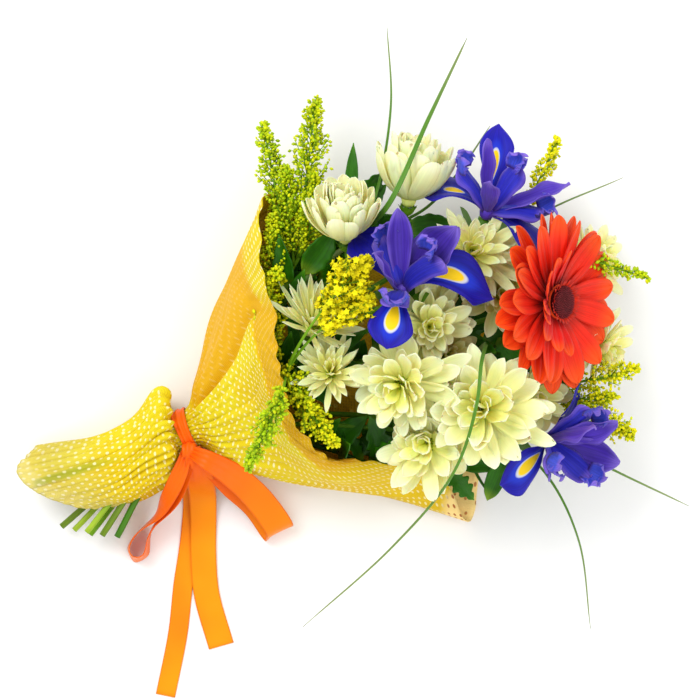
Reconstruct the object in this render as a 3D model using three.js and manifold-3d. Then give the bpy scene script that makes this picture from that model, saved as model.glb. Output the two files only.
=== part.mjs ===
// A hand-tied mixed bouquet lying on a table: gerbera, Dutch irises, spray chrysanthemums, goldenrod,
// foliage and bear grass, in a dotted cloth wrap gathered at the tie and bound with a satin ribbon.
// Millimetres. +Z is up from the table, +X runs towards the blooms, the stem ends point to -X.
import * as THREE from "three";
import { mergeVertices } from "three/addons/utils/BufferGeometryUtils.js";
import Module from "manifold-3d";

const wasm = await Module();
wasm.setup();

// ---- driving dimensions ----
const gap = 0.35; // left where one piece presses on another
const smallestDetail = 0.05;
const tieCentre = [-106, -41, 24]; // middle of the stems where the ribbon binds them
const tieRadius = 13.1; // outside of the gathered cloth at the tie
const tieHalfLength = 5; // the cloth is drawn in for this far each side of the tie
const headsDirection = [0.87, 0.48, 0.1]; // from the tie towards the blooms
const stemEndsDirection = [-0.955, -0.295, -0.04]; // from the tie towards the cut ends
const stemRadius = 1.9;
const stemPitch = 4.6; // between neighbouring stems at the tie
const wrapThickness = 0.9;
const ribbonThickness = 0.8;
const gerberaRadius = 54;
const irisFallLength = 50;
const irisFallHalf = 15.5;
const irisStandardLength = 52;
const irisStandardHalf = 9.5;

// ---- colours ----
const finish = (color, roughness) => new THREE.MeshStandardMaterial({ color, roughness, metalness: 0 });
const materials = {
  wrap: finish(0xe8cc2e, 0.75),
  ribbon: finish(0xf27a10, 0.35),
  gerbera: finish(0xf0401a, 0.6),
  gerberaDisc: finish(0x4a1420, 0.8),
  iris: finish(0x3a2fc0, 0.55),
  cream: finish(0xf0eec0, 0.6),
  goldenrod: finish(0xa8b820, 0.7),
  stem: finish(0x5a8a2c, 0.6),
  leaf: finish(0x2f6a26, 0.55),
  grass: finish(0x5f8f3c, 0.5),
};

// ---- small tools ----
const up = new THREE.Vector3(0, 0, 1);
const vec = (p) => (p.isVector3 ? p.clone() : new THREE.Vector3(p[0], p[1], p[2]));
const radians = THREE.MathUtils.degToRad;
const along = (from, direction, distance) => vec(from).addScaledVector(vec(direction), distance);

// A repeatable draw from -1 to 1.
function vary(seed, index) {
  const x = Math.sin(seed * 12.9898 + index * 78.233) * 43758.5453;
  return 2 * (x - Math.floor(x)) - 1;
}

// The flower's own axes: n is the way it faces, u and v lie across it.
function axesOf(facing) {
  const n = vec(facing).normalize();
  const across = Math.abs(n.z) < 0.95 ? up : new THREE.Vector3(0, 1, 0);
  const u = across.clone().cross(n).normalize();
  return { n, u, v: n.clone().cross(u) };
}

// A closed skin over rings of points, one after the other. It ends in a point if `tip` is given.
// Diagonals run alike on opposite faces, so that a thin blade never cuts through itself.
function skin(rings, tip) {
  const sides = rings[0].length;
  const points = rings.flat();
  const faces = [];
  for (let i = 0; i + 1 < rings.length; i++) {
    for (let k = 0; k < sides; k++) {
      const next = (k + 1) % sides;
      const [a, b, c, d] = [i * sides + k, i * sides + next, (i + 1) * sides + next, (i + 1) * sides + k];
      if (k % 2 === 0) faces.push(a, b, c, a, c, d);
      else faces.push(a, b, d, b, c, d);
    }
  }
  for (let k = 1; k + 1 < sides; k++) faces.push(0, k + 1, k);
  const last = (rings.length - 1) * sides;
  if (tip) {
    points.push(tip);
    for (let k = 0; k < sides; k++) faces.push(last + k, last + ((k + 1) % sides), points.length - 1);
  } else {
    for (let k = 1; k + 1 < sides; k++) faces.push(last, last + k, last + k + 1);
  }
  const position = new THREE.BufferAttribute(new Float32Array(points.flatMap((p) => [p.x, p.y, p.z])), 3);
  return new THREE.BufferGeometry().setAttribute("position", position).setIndex(faces);
}

// A geometry as a solid with its faces outwards.
function solidOf(geometry) {
  const bare = geometry.clone();
  bare.deleteAttribute("normal");
  bare.deleteAttribute("uv");
  const merged = mergeVertices(bare, 1e-4);
  const triVerts = new Uint32Array(merged.index.array);
  const vertProperties = new Float32Array(merged.attributes.position.array);
  const build = () => new wasm.Manifold(new wasm.Mesh({ numProp: 3, vertProperties, triVerts }));
  const made = build();
  if (made.volume() >= 0) return made;
  for (let i = 0; i < triVerts.length; i += 3) {
    [triVerts[i], triVerts[i + 1]] = [triVerts[i + 1], triVerts[i]];
  }
  return build();
}

const fuse = (geometries) => wasm.Manifold.union(geometries.map(solidOf));

// ---- blades: petals and leaves ----
// A station is { at, side, normal, half, cup, thick }: an arched cross-section `half` wide to each side,
// whose edges stand `cup` above its middle. `keel` makes it three-sided, with a flat top and a rib below.
function bladeRing({ at, side, normal, half, cup = 0, thick }, keel, grow) {
  const wide = half + 2 * grow;
  const deep = thick / 2 + grow;
  const left = at.clone().addScaledVector(side, -wide).addScaledVector(normal, cup);
  const right = at.clone().addScaledVector(side, wide).addScaledVector(normal, cup);
  const below = at.clone().addScaledVector(normal, keel ? -2 * deep : -deep);
  if (keel) {
    left.addScaledVector(normal, grow);
    right.addScaledVector(normal, grow);
    return [left, right, below];
  }
  return [left, at.clone().addScaledVector(normal, deep), right, below];
}

function blade(stations, keel, grow) {
  const rings = stations.slice(0, -1).map((s) => bladeRing(s, keel, grow));
  const end = stations[stations.length - 1];
  if (end.half > 0) return skin([...rings, bladeRing(end, keel, grow)]);
  const before = stations[stations.length - 2];
  const run = end.at.clone().sub(before.at).normalize();
  return skin(rings, end.at.clone().addScaledVector(run, 2 * grow).addScaledVector(end.normal, end.cup ?? 0));
}

// A petal leaves the flower's middle at `azimuth`, `start` from the axis and `lift` up it. It rises by
// `rise` degrees and turns `curl` degrees more over its length. `outline` lists [share of the length,
// share of the half width]; a last width of 0 is a pointed tip. `tilt` turns the blade about its own
// length, so that neighbours overlap like tiles.
function petal(flower, p, grow) {
  const { n, u, v } = flower.axes;
  const azimuth = radians(p.azimuth);
  const out = u.clone().multiplyScalar(Math.cos(azimuth)).addScaledVector(v, Math.sin(azimuth));
  const side = n.clone().cross(out);
  const steps = 24;
  const rise = (s) => radians(p.rise + p.curl * s);
  const place = (s) => {
    const at = along(flower.at, out, p.start).addScaledVector(n, p.lift ?? 0);
    at.addScaledVector(side, (p.drift ?? 0) * p.length * s * s);
    for (let i = 0; i < steps; i++) {
      const angle = rise((s * (i + 0.5)) / steps);
      at.addScaledVector(out, (p.length * s * Math.cos(angle)) / steps);
      at.addScaledVector(n, (p.length * s * Math.sin(angle)) / steps);
    }
    return at;
  };
  const stations = p.outline.map(([s, share]) => {
    const angle = rise(s);
    const normal = out.clone().multiplyScalar(-Math.sin(angle)).addScaledVector(n, Math.cos(angle));
    const run = side.clone().cross(normal);
    const tilt = radians((p.tilt ?? 0) + (p.twist ?? 0) * s);
    normal.applyAxisAngle(run, tilt);
    const across = side.clone().applyAxisAngle(run, tilt);
    const half = p.half * share;
    return { at: place(s), side: across, normal, half, cup: half * p.cup, thick: p.thick ?? 0.9 };
  });
  return blade(stations, p.keel, grow);
}

// ---- stems ----
const stemCurve = (points) => new THREE.CatmullRomCurve3(points.map(vec), false, "centripetal");

// A round stem along the points of `line`, tapering from `thick` to `thin`, with flat ends.
// Each ring starts where the ring before it did, so that the skin never twists.
function stem(line, [thick, thin], sides, grow) {
  const last = line.length - 1;
  const spoke = new THREE.Vector3(0.3, 0.2, 1);
  const rings = line.map((at, i) => {
    const run = line[Math.min(i + 1, last)].clone().sub(line[Math.max(i - 1, 0)]).normalize();
    spoke.addScaledVector(run, -spoke.dot(run)).normalize();
    const across = run.clone().cross(spoke);
    const radius = THREE.MathUtils.lerp(thick, thin, i / last) + grow / Math.cos(Math.PI / sides);
    const overrun = { 0: -grow, [last]: grow }[i] ?? 0;
    return Array.from({ length: sides }, (_, k) => {
      const a = (2 * Math.PI * k) / sides;
      const centre = along(at, run, overrun).addScaledVector(spoke, radius * Math.cos(a));
      return centre.addScaledVector(across, radius * Math.sin(a));
    });
  });
  return skin(rings);
}

// The point of `line` nearest to `wanted`, where a side shoot grows from a stem.
function rootOn(line, wanted) {
  const edge = new THREE.Line3();
  let best = line[0];
  for (let i = 0; i + 1 < line.length; i++) {
    const near = edge.set(line[i], line[i + 1]).closestPointToPoint(vec(wanted), true, new THREE.Vector3());
    if (near.distanceTo(vec(wanted)) < best.distanceTo(vec(wanted))) best = near;
  }
  return best;
}

// A green cup under a bloom: a cone that widens to `wide` where the petals leave it.
function calyx(flower, wide, depth, grow) {
  const { n, u, v } = flower.axes;
  const neck = 1.2; // its radius where it meets the stem
  const ring = (distance, radius) =>
    [0, 1, 2, 3, 4].map((k) => {
      const a = (2 * Math.PI * k) / 5;
      const centre = along(flower.at, n, -distance);
      return centre.addScaledVector(u, radius * Math.cos(a)).addScaledVector(v, radius * Math.sin(a));
    });
  const base = flower.coreRadius + gap;
  return skin([ring(base + depth + grow, neck + grow), ring(base - grow, wide + grow)]);
}

const ball = (at, radius, detail, grow) =>
  new THREE.IcosahedronGeometry(radius + grow, detail).translate(...vec(at).toArray());

// ---- the tie: every stem passes it in its own place ----
const tieAxis = vec(headsDirection).sub(vec(stemEndsDirection)).normalize();
const tieAcross = up.clone().cross(tieAxis).normalize(); // to the upper left of the bouquet
const tieUp = tieAxis.clone().cross(tieAcross);
const headsAxis = vec(headsDirection).normalize();
const headsAcross = up.clone().cross(headsAxis).normalize();
const endsAxis = vec(stemEndsDirection).normalize();
const endsAcross = endsAxis.clone().cross(up).normalize();

// Places in a close-packed bundle: the middle and two rings round it.
function bundlePlaces() {
  const places = [];
  for (let row = -2; row <= 2; row++) {
    for (let column = -4; column <= 4; column++) {
      if ((row + column) % 2 !== 0) continue;
      const place = { across: (column * stemPitch) / 2, up: row * stemPitch * Math.sqrt(0.75) };
      if (Math.hypot(place.across, place.up) < 2.1 * stemPitch) places.push(place);
    }
  }
  return places;
}

// Where a straight line from the tie to `target` leans, across and up.
function leanTo(target) {
  const offset = vec(target).sub(vec(tieCentre));
  const distance = offset.dot(headsAxis);
  const over = headsAxis.clone().cross(headsAcross);
  return { across: offset.dot(headsAcross) / distance, up: offset.dot(over) / distance };
}

// The stems that lean out most choose first, each taking the free place nearest its own lean.
function placeStems(stems) {
  const free = bundlePlaces();
  const scale = 2 * stemPitch;
  const leans = stems.map((s) => ({ s, lean: leanTo(s.through[0]) }));
  leans.sort((a, b) => Math.hypot(b.lean.across, b.lean.up) - Math.hypot(a.lean.across, a.lean.up));
  for (const { s, lean } of leans) {
    const want = { across: lean.across * scale * 1.1, up: lean.up * scale * 1.5 };
    const miss = (p) => Math.hypot(p.across - want.across, p.up - want.up);
    free.sort((a, b) => miss(a) - miss(b));
    s.place = free.shift();
  }
}

// Stems on the lower side of the tie fan out of the wrap's open edge, the outermost ones furthest.
const fan = { from: -4, turn: 20, turnPerMm: 2.7, tiltPerMm: 0.5, shorterPerDegree: 1.5 };
const stemReach = 92; // from the tie to the cut ends
function fanOf({ across, up: high }) {
  if (across > fan.from) return { turn: 0, reach: stemReach + 6 * vary(3, across * 7 + high) };
  const turn = fan.turn + fan.turnPerMm * (fan.from - across) + fan.tiltPerMm * high;
  return { turn, reach: stemReach + 4 - fan.shorterPerDegree * (turn - fan.turn) };
}

// The stem's path from its cut end, through its place at the tie, to the first of its own points.
const tieApproach = 9; // how far each side of the tie a stem runs straight
function pathToTie(place) {
  const { across, up: high } = place;
  const { turn, reach } = fanOf(place);
  const atTie = (distance) =>
    along(tieCentre, tieAxis, distance).addScaledVector(tieAcross, across).addScaledVector(tieUp, high);
  const outwards = (share, turned) =>
    along(tieCentre, endsAxis.clone().applyAxisAngle(up, radians(turned)), reach * share)
      .addScaledVector(endsAcross, across)
      .addScaledVector(up, high * 0.9);
  return [outwards(1, turn), outwards(0.5, turn * 0.7), atTie(-tieApproach), atTie(tieApproach)];
}

// Past the tie a stem's line has `reachSteps` more points, on a smooth curve through its own points.
const reachSteps = 7;
function stemLine(s) {
  const near = pathToTie(s.place);
  const curve = stemCurve([...near, ...s.through]);
  const tie = near.length - 1;
  const share = (step) => (tie + (s.through.length * (step + 1)) / reachSteps) / (tie + s.through.length);
  return [...near, ...Array.from({ length: reachSteps }, (_, step) => curve.getPoint(share(step)))];
}

// Stems are bent clear of one another past the tie: where two lines come too near, each gives way by half
// of what is missing. Both ends of a line stay in place.
const stemClearance = 2 * stemRadius + 1.1;
function bendClear(stems) {
  const edge = new THREE.Line3();
  const near = new THREE.Vector3();
  const firstFree = 4;
  const give = (a, b) => {
    for (let k = firstFree; k + 1 < a.length; k++) {
      for (let m = firstFree - 1; m + 1 < b.length; m++) {
        edge.set(b[m], b[m + 1]).closestPointToPoint(a[k], true, near);
        const away = a[k].clone().sub(near);
        const lack = stemClearance - away.length();
        if (lack <= 0) continue;
        away.setLength(lack / 2);
        a[k].add(away);
        if (m >= firstFree) b[m].sub(away);
        if (m + 2 < b.length) b[m + 1].sub(away);
      }
    }
  };
  for (const s of stems) s.line = stemLine(s);
  for (let round = 0; round < 80; round++) {
    for (const a of stems) {
      for (const b of stems) if (a !== b) give(a.line, b.line);
    }
  }
}

// ---- flowers ----
// The layers of a chrysanthemum's petals: how many, how they rise and curl, and their size as a share
// of the bloom's radius.
const chrysanthemumForms = {
  open: [
    { count: 8, rise: 4, curl: 16, length: 0.88, half: 0.2, start: 0.08, outline: "blunt" },
    { count: 7, rise: 32, curl: 10, length: 0.72, half: 0.16, start: 0.06, outline: "plain" },
  ],
  cup: [
    { count: 7, rise: 26, curl: 54, length: 1.5, half: 0.25, start: 0.1, outline: "blunt" },
    { count: 5, rise: 56, curl: 30, length: 1.5, half: 0.24, start: 0.06, outline: "plain" },
    { count: 2, rise: 82, curl: 8, length: 1.3, half: 0.2, start: 0.03, outline: "plain" },
  ],
  narrow: [
    { count: 8, rise: 28, curl: 12, length: 0.95, half: 0.1, start: 0.08, outline: "blunt" },
    { count: 6, rise: 56, curl: 6, length: 0.85, half: 0.09, start: 0.05, outline: "plain" },
  ],
  sparse: [
    { count: 7, rise: 8, curl: 14, length: 0.88, half: 0.21, start: 0.08, outline: "plain" },
    { count: 5, rise: 38, curl: 8, length: 0.7, half: 0.17, start: 0.06, outline: "plain" },
  ],
};
const petalOutlines = {
  plain: [[0, 0.16], [0.6, 1], [1, 0]],
  blunt: [[0, 0.16], [0.5, 0.95], [0.86, 0.8], [1, 0]],
};

const chrysanthemums = [
  { name: "chrysanthemum_1", form: "cup", at: [34, 103, 72], facing: [0.12, 0.96, 0.25], radius: 27 },
  { name: "chrysanthemum_2", form: "cup", at: [-5, 79, 88], facing: [-0.05, 0.85, 0.52], radius: 24 },
  { name: "chrysanthemum_3", form: "narrow", at: [-26, 24, 84], facing: [0.42, 0.68, 0.58], radius: 32 },
  { name: "chrysanthemum_4", form: "narrow", at: [-14, -5, 86], facing: [-0.05, 0.35, 0.93], radius: 26 },
  { name: "chrysanthemum_5", form: "open", at: [45, 25, 84], facing: [0.2, -0.05, 0.97], radius: 26 },
  { name: "chrysanthemum_6", form: "open", at: [30, -9, 98], facing: [-0.38, -0.34, 0.86], radius: 33 },
  { name: "chrysanthemum_7", form: "open", at: [46, -46, 82], facing: [-0.22, 0.02, 0.97], radius: 29 },
  { name: "chrysanthemum_8", form: "open", at: [78, -25, 100], facing: [-0.16, 0.05, 0.98], radius: 36 },
  { name: "chrysanthemum_9", form: "open", at: [74, 70, 84], facing: [0.2, 0.2, 0.95], radius: 33 },
  { name: "chrysanthemum_10", form: "sparse", at: [56, 6, 66], facing: [0.3, 0.2, 0.93], radius: 24 },
  { name: "chrysanthemum_11", form: "sparse", at: [110, -17, 68], facing: [0.3, -0.15, 0.94], radius: 27 },
  { name: "chrysanthemum_12", form: "sparse", at: [90, 44, 62], facing: [0.3, 0.1, 0.95], radius: 27 },
  { name: "chrysanthemum_13", form: "sparse", at: [148, 66, 36], facing: [0.8, 0.4, 0.45], radius: 27 },
  { name: "chrysanthemum_14", form: "sparse", at: [153, 12, 40], facing: [0.85, -0.25, 0.45], radius: 27 },
].map((c, index) => ({ ...c, seed: index + 1, axes: axesOf(c.facing), coreRadius: 0.17 * c.radius }));

function chrysanthemum(flower, grow) {
  const made = [ball(flower.at, flower.coreRadius, 0, grow)];
  chrysanthemumForms[flower.form].forEach((layer, depth) => {
    for (let k = 0; k < layer.count; k++) {
      const index = depth * 40 + k;
      made.push(
        petal(flower, {
          azimuth: (360 * (k + 0.5 * depth)) / layer.count + 20 * flower.seed + 4 * vary(flower.seed, index),
          rise: layer.rise + 5 * vary(flower.seed + 20, index),
          curl: layer.curl,
          length: layer.length * flower.radius * (1 + 0.07 * vary(flower.seed + 40, index)),
          half: layer.half * flower.radius,
          start: layer.start * flower.radius,
          lift: depth * 0.06 * flower.radius,
          cup: 0.3,
          tilt: 13,
          outline: petalOutlines[layer.outline],
          thick: 0.7,
          keel: true,
        }, grow),
      );
    }
  });
  return made;
}

const gerbera = {
  at: [122, 40, 92],
  facing: [0.76, -0.05, 0.65],
  coreRadius: 4.2, // half of the plate's height
  discRadius: 12,
  seed: 31,
};
gerbera.axes = axesOf(gerbera.facing);
const gerberaLayers = [
  { count: 16, rise: -3, curl: 8, length: 0.88, half: 0.15, start: 0.1, lift: -1.5, outline: "blunt" },
  { count: 11, rise: 11, curl: 6, length: 0.74, half: 0.13, start: 0.1, lift: 0.8, outline: "plain" },
];

// A round plate that the petals leave, under the disc of small florets.
function gerberaBody(grow) {
  const { n } = gerbera.axes;
  const plate = new THREE.CylinderGeometry(10.5 + grow, 5 + grow, 2 * (gerbera.coreRadius + grow), 10);
  const turn = new THREE.Quaternion().setFromUnitVectors(new THREE.Vector3(0, 1, 0), n);
  return [plate.applyQuaternion(turn).translate(...vec(gerbera.at).toArray())];
}

function gerberaPetals(grow) {
  const made = gerberaBody(grow);
  gerberaLayers.forEach((layer, depth) => {
    for (let k = 0; k < layer.count; k++) {
      const index = depth * 40 + k;
      made.push(
        petal(gerbera, {
          azimuth: (360 * (k + 0.5 * depth)) / layer.count + 2.5 * vary(gerbera.seed, index),
          rise: layer.rise + 4 * vary(gerbera.seed + 1, index),
          curl: layer.curl,
          length: layer.length * gerberaRadius * (1 + 0.05 * vary(gerbera.seed + 2, index)),
          half: layer.half * gerberaRadius,
          start: layer.start * gerberaRadius,
          lift: layer.lift,
          cup: 0.22,
          tilt: 10,
          outline: petalOutlines[layer.outline],
          thick: 0.8,
          keel: true,
        }, grow),
      );
    }
  });
  return made;
}

// The disc: a low dome raised into rings of florets.
const discProfile = [
  [0, 0], [0.78, 0], [0.86, 0.24], [0.7, 0.2], [0.62, 0.36], [0.44, 0.3], [0.36, 0.42], [0, 0.36],
]; // [distance from the middle, height], as shares of the disc's radius
function gerberaDisc(grow) {
  const { n } = gerbera.axes;
  const wide = gerbera.discRadius + grow;
  const points = discProfile.map(([r, h]) => new THREE.Vector2(r * wide, h * gerbera.discRadius));
  const dome = new THREE.LatheGeometry(points, 12);
  const turn = new THREE.Quaternion().setFromUnitVectors(new THREE.Vector3(0, 1, 0), n);
  const seat = along(gerbera.at, n, gerbera.coreRadius + gap - grow);
  return [dome.applyQuaternion(turn).translate(...seat.toArray())];
}

const irises = [
  {
    name: "iris_1",
    at: [29, 46, 101],
    facing: [0.02, 0.58, 0.81],
    falls: [
      { azimuth: 78, rise: 38, curl: -100, twist: -10, size: 0.84 },
      { azimuth: 212, rise: 52, curl: -112, drift: -0.62, twist: 50, size: 1 },
      { azimuth: 330, rise: 30, curl: -70, twist: -10, size: 0.88, armTurn: 10 },
    ],
    standards: [
      { azimuth: 278, rise: 48, curl: 24, size: 1, wide: 0.75 },
      { azimuth: 225, rise: 34, curl: 30, drift: -0.15, size: 1, wide: 1.3 },
      { azimuth: 20, rise: 62, curl: 14, size: 0.9, wide: 0.7 },
    ],
  },
  {
    name: "iris_2",
    at: [82, 95, 75],
    facing: [0.22, 0.76, 0.61],
    falls: [
      { azimuth: 280, rise: 54, curl: -26, size: 1.08, armTurn: -55 },
      { azimuth: 352, rise: 46, curl: -110, size: 0.88 },
      { azimuth: 165, rise: 12, curl: -80, size: 0.95, armTurn: 20 },
    ],
    standards: [
      { azimuth: 320, rise: 66, curl: 10, size: 0.9, wide: 0.65 },
      { azimuth: 200, rise: 22, curl: 16, size: 1, wide: 0.8 },
      { azimuth: 74, rise: 60, curl: 14, size: 0.8, wide: 0.8 },
    ],
  },
  {
    name: "iris_3",
    at: [118, -45, 70],
    facing: [0.7, -0.2, 0.68],
    falls: [
      { azimuth: 125, rise: 44, curl: -100, drift: 0.3, size: 0.86 },
      { azimuth: 262, rise: 40, curl: -60, size: 0.9, armTurn: -28 },
      { azimuth: 345, rise: 36, curl: -60, twist: 40, size: 0.8 },
    ],
    standards: [
      { azimuth: 315, rise: 44, curl: 16, drift: 0.04, size: 0.86, wide: 0.9 },
      { azimuth: 268, rise: 38, curl: 20, size: 0.9, wide: 1 },
      { azimuth: 38, rise: 60, curl: 14, size: 0.9, wide: 0.8 },
    ],
  },
].map((f, index) => ({ ...f, seed: 51 + index, axes: axesOf(f.facing), coreRadius: 4.5 }));

// Three falls that arch out and hang, three upright standards, and three style arms over the falls.
const irisOutlines = {
  fall: [[0, 0.25], [0.35, 0.34], [0.52, 0.7], [0.68, 1], [0.84, 0.86], [1, 0]],
  standard: [[0, 0.3], [0.4, 0.7], [0.75, 1], [1, 0]],
  arm: [[0, 0.35], [0.7, 1], [1, 0.5]],
};
function iris(flower, grow) {
  const made = [ball(flower.at, flower.coreRadius, 0, grow)];
  for (const f of flower.falls) {
    const fall = {
      ...f,
      length: irisFallLength * f.size,
      half: irisFallHalf * f.size,
      start: 2,
      cup: 0.08,
      outline: irisOutlines.fall,
      thick: 1,
    };
    const arm = {
      azimuth: f.azimuth + (f.armTurn ?? 0),
      rise: f.rise + 16,
      curl: 0.35 * f.curl,
      drift: 0.5 * (f.drift ?? 0),
      length: 36,
      half: 7.5,
      start: 1,
      lift: 2,
      cup: -0.25,
      outline: irisOutlines.arm,
      thick: 1,
    };
    made.push(petal(flower, fall, grow), petal(flower, arm, grow));
  }
  for (const s of flower.standards) {
    const standard = {
      ...s,
      length: irisStandardLength * s.size,
      half: irisStandardHalf * s.wide,
      start: 1.5,
      cup: 0.4,
      outline: irisOutlines.standard,
      thick: 1,
      keel: true,
    };
    made.push(petal(flower, standard, grow));
  }
  return made;
}

// ---- goldenrod ----
// A plume is a rachis from `from` to `tip`, bent towards `over`, with short branchlets all round it, each
// ending in a tuft of florets.
const goldenAngle = 137.5; // between one branchlet and the next
const firstBranchlet = 0.22; // share of the rachis that is bare
const rachisRadii = [1.3, 0.8];
function plume({ from, over, tip, spread, count, seed }, grow) {
  const start = vec(from);
  const end = vec(tip);
  const run = end.clone().sub(start);
  const middle = over ? vec(over) : start.clone().lerp(end, 0.5).addScaledVector(up, 0.12 * run.length());
  const curve = new THREE.QuadraticBezierCurve3(start, middle, end);
  const line = curve.getPoints(4);
  const made = [stem(line, rachisRadii, 4, grow)];
  for (let k = 0; k < count; k++) {
    const t = firstBranchlet + ((1 - firstBranchlet) * k) / (count - 1);
    const at = rootOn(line, curve.getPoint(t));
    const { n, u, v } = axesOf(curve.getTangent(t));
    const turn = radians(goldenAngle * k + 40 * vary(seed, k));
    const out = u.clone().multiplyScalar(Math.cos(turn)).addScaledVector(v, Math.sin(turn));
    const lean = k === count - 1 ? 0.15 : 0.75;
    const direction = out.multiplyScalar(lean).addScaledVector(n, 0.7).normalize();
    const length = spread * (1.15 - 0.75 * t) * (1 + 0.15 * vary(seed + 5, k));
    made.push(tuft(at, direction, length, grow));
  }
  return made;
}

// A branchlet is a tuft of florets: it swells towards its end and closes in a point.
const tuftOutline = [[0, 0.35], [0.68, 2.2]]; // [share of its length, radius]
function tuft(at, direction, length, grow) {
  const { n, u, v } = axesOf(direction);
  const rings = tuftOutline.map(([share, radius], i) =>
    [0, 1, 2].map((k) => {
      const a = (2 * Math.PI * (k + 0.5 * i)) / 3;
      const centre = along(at, n, share * length);
      const wide = radius + 1.5 * grow;
      return centre.addScaledVector(u, wide * Math.cos(a)).addScaledVector(v, wide * Math.sin(a));
    }),
  );
  return skin(rings, along(at, n, length + grow));
}

const goldenrods = [
  {
    name: "goldenrod_1",
    through: [[-55, 30, 50], [-34, 68, 56]],
    plumes: [
      { from: [-34, 66, 56], tip: [-26, 165, 52], spread: 17, count: 8 },
      { from: [-40, 60, 55], tip: [-57, 151, 48], spread: 15, count: 7 },
    ],
  },
  {
    name: "goldenrod_2",
    through: [[-64, -17, 58], [-42, -5, 84]],
    plumes: [
      { from: [-42, -5, 84], over: [-30, 26, 138], tip: [-2, 62, 112], spread: 16, count: 9 },
      { from: [-46, -8, 78], tip: [-54, 48, 84], spread: 12, count: 5 },
      { from: [-46, -8, 78], over: [-32, -24, 98], tip: [-14, -46, 92], spread: 13, count: 5 },
      { from: [-42, -5, 84], over: [-38, -12, 160], tip: [-64, -60, 100], spread: 12, count: 6 },
    ],
  },
  {
    name: "goldenrod_3",
    through: [[60, 8, 40], [120, -14, 46]],
    plumes: [
      { from: [122, -14, 46], tip: [171, -40, 60], spread: 16, count: 8 },
      { from: [126, -10, 46], tip: [174, -2, 62], spread: 12, count: 6 },
    ],
  },
  {
    name: "goldenrod_4",
    through: [[40, 50, 44], [100, 82, 48]],
    plumes: [
      { from: [100, 82, 48], tip: [126, 142, 60], spread: 11, count: 5 },
      { from: [106, 82, 46], tip: [182, 55, 72], spread: 11, count: 6 },
    ],
  },
].map((g, index) => ({ ...g, seed: 71 + index }));

// ---- foliage ----
// A leaf from `from` to `tip`, `half` wide each side, arched up a little; `lobes` cuts its margin.
const leafThickness = 0.9;
const leafBow = 4;
function leaf({ from, tip, half, lobes = 0, roll = 0 }, grow) {
  const start = vec(from);
  const end = vec(tip);
  const run = end.clone().sub(start);
  const middle = start.clone().lerp(end, 0.5).addScaledVector(up, leafBow);
  const curve = new THREE.QuadraticBezierCurve3(start, middle, end);
  const plain = [[0, 0.12], [0.3, 0.85], [0.62, 1], [1, 0]];
  const cut = [[0, 0.12], [0.3, 0.8], [0.4, 0.45], [0.62, 1], [0.72, 0.5], [1, 0]];
  const side = run.clone().cross(up).normalize();
  const stations = (lobes ? cut : plain).map(([s, share]) => {
    const tangent = curve.getTangent(Math.min(s, 0.999));
    const level = tangent.clone().cross(side).negate().normalize();
    const turned = side.clone().applyAxisAngle(tangent, radians(roll));
    const normal = level.applyAxisAngle(tangent, radians(roll));
    const wide = half * share;
    const at = curve.getPoint(s);
    return { at, side: turned, normal, half: wide, cup: wide * 0.25, thick: leafThickness };
  });
  return blade(stations, true, grow);
}

const foliage = [
  {
    name: "foliage_1",
    through: [[-48, 28, 40], [-10, 72, 46], [-2, 100, 56]],
    leaves: [
      { from: [-2, 98, 55], tip: [0, 139, 62], half: 5.5, roll: 18 },
      { from: [-20, 60, 45], tip: [-11, 84, 80], half: 9, roll: -14 },
      { from: [-12, 70, 46], tip: [24, 88, 50], half: 6 },
      { from: [-30, 48, 43], tip: [-48, 86, 46], half: 7 },
      { from: [-36, 41, 42], tip: [-8, 36, 66], half: 7 },
    ],
  },
  {
    name: "foliage_2",
    through: [[-62, -2, 48], [-38, 8, 58], [-20, 14, 62]],
    leaves: [
      { from: [-20, 10, 64], tip: [8, 22, 72], half: 7, roll: 10 },
      { from: [-28, 4, 63], tip: [-40, 34, 74], half: 6, roll: -15 },
      { from: [-34, 0, 62], tip: [-14, -24, 74], half: 6, roll: 10 },
      { from: [-44, -4, 60], tip: [-38, 22, 88], half: 5 },
      { from: [-40, -2, 61], tip: [-34, -28, 84], half: 6 },
      { from: [-24, 7, 64], tip: [6, -2, 78], half: 6 },
    ],
  },
  {
    name: "foliage_3",
    through: [[-30, -48, 38], [30, -66, 34], [74, -60, 34]],
    leaves: [
      { from: [74, -60, 34], tip: [88, -80, 44], half: 6.5, roll: 12 },
      { from: [52, -64, 34], tip: [76, -84, 36], half: 7.5, lobes: 1 },
      { from: [-10, -54, 36], tip: [-2, -47, 84], half: 9, lobes: 1, roll: 20 },
      { from: [10, -60, 35], tip: [34, -46, 74], half: 8, lobes: 1 },
      { from: [20, -63, 34], tip: [10, -30, 66], half: 9, lobes: 1 },
      { from: [62, -62, 34], tip: [104, -58, 52], half: 6 },
    ],
  },
  {
    name: "foliage_4",
    through: [[0, 2, 28], [70, 14, 36], [112, 6, 42]],
    leaves: [
      { from: [112, 10, 52], tip: [140, -14, 74], half: 7, lobes: 1 },
      { from: [90, 18, 51], tip: [104, 0, 84], half: 7, lobes: 1 },
      { from: [70, 24, 50], tip: [66, 48, 82], half: 7, lobes: 1 },
      { from: [60, 23, 50], tip: [76, -4, 74], half: 6 },
      { from: [100, 14, 51], tip: [134, 40, 52], half: 7 },
      { from: [30, 21, 49], tip: [20, 0, 70], half: 8, lobes: 1 },
      { from: [40, 22, 49], tip: [30, 60, 64], half: 7 },
    ],
  },
];

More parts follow.
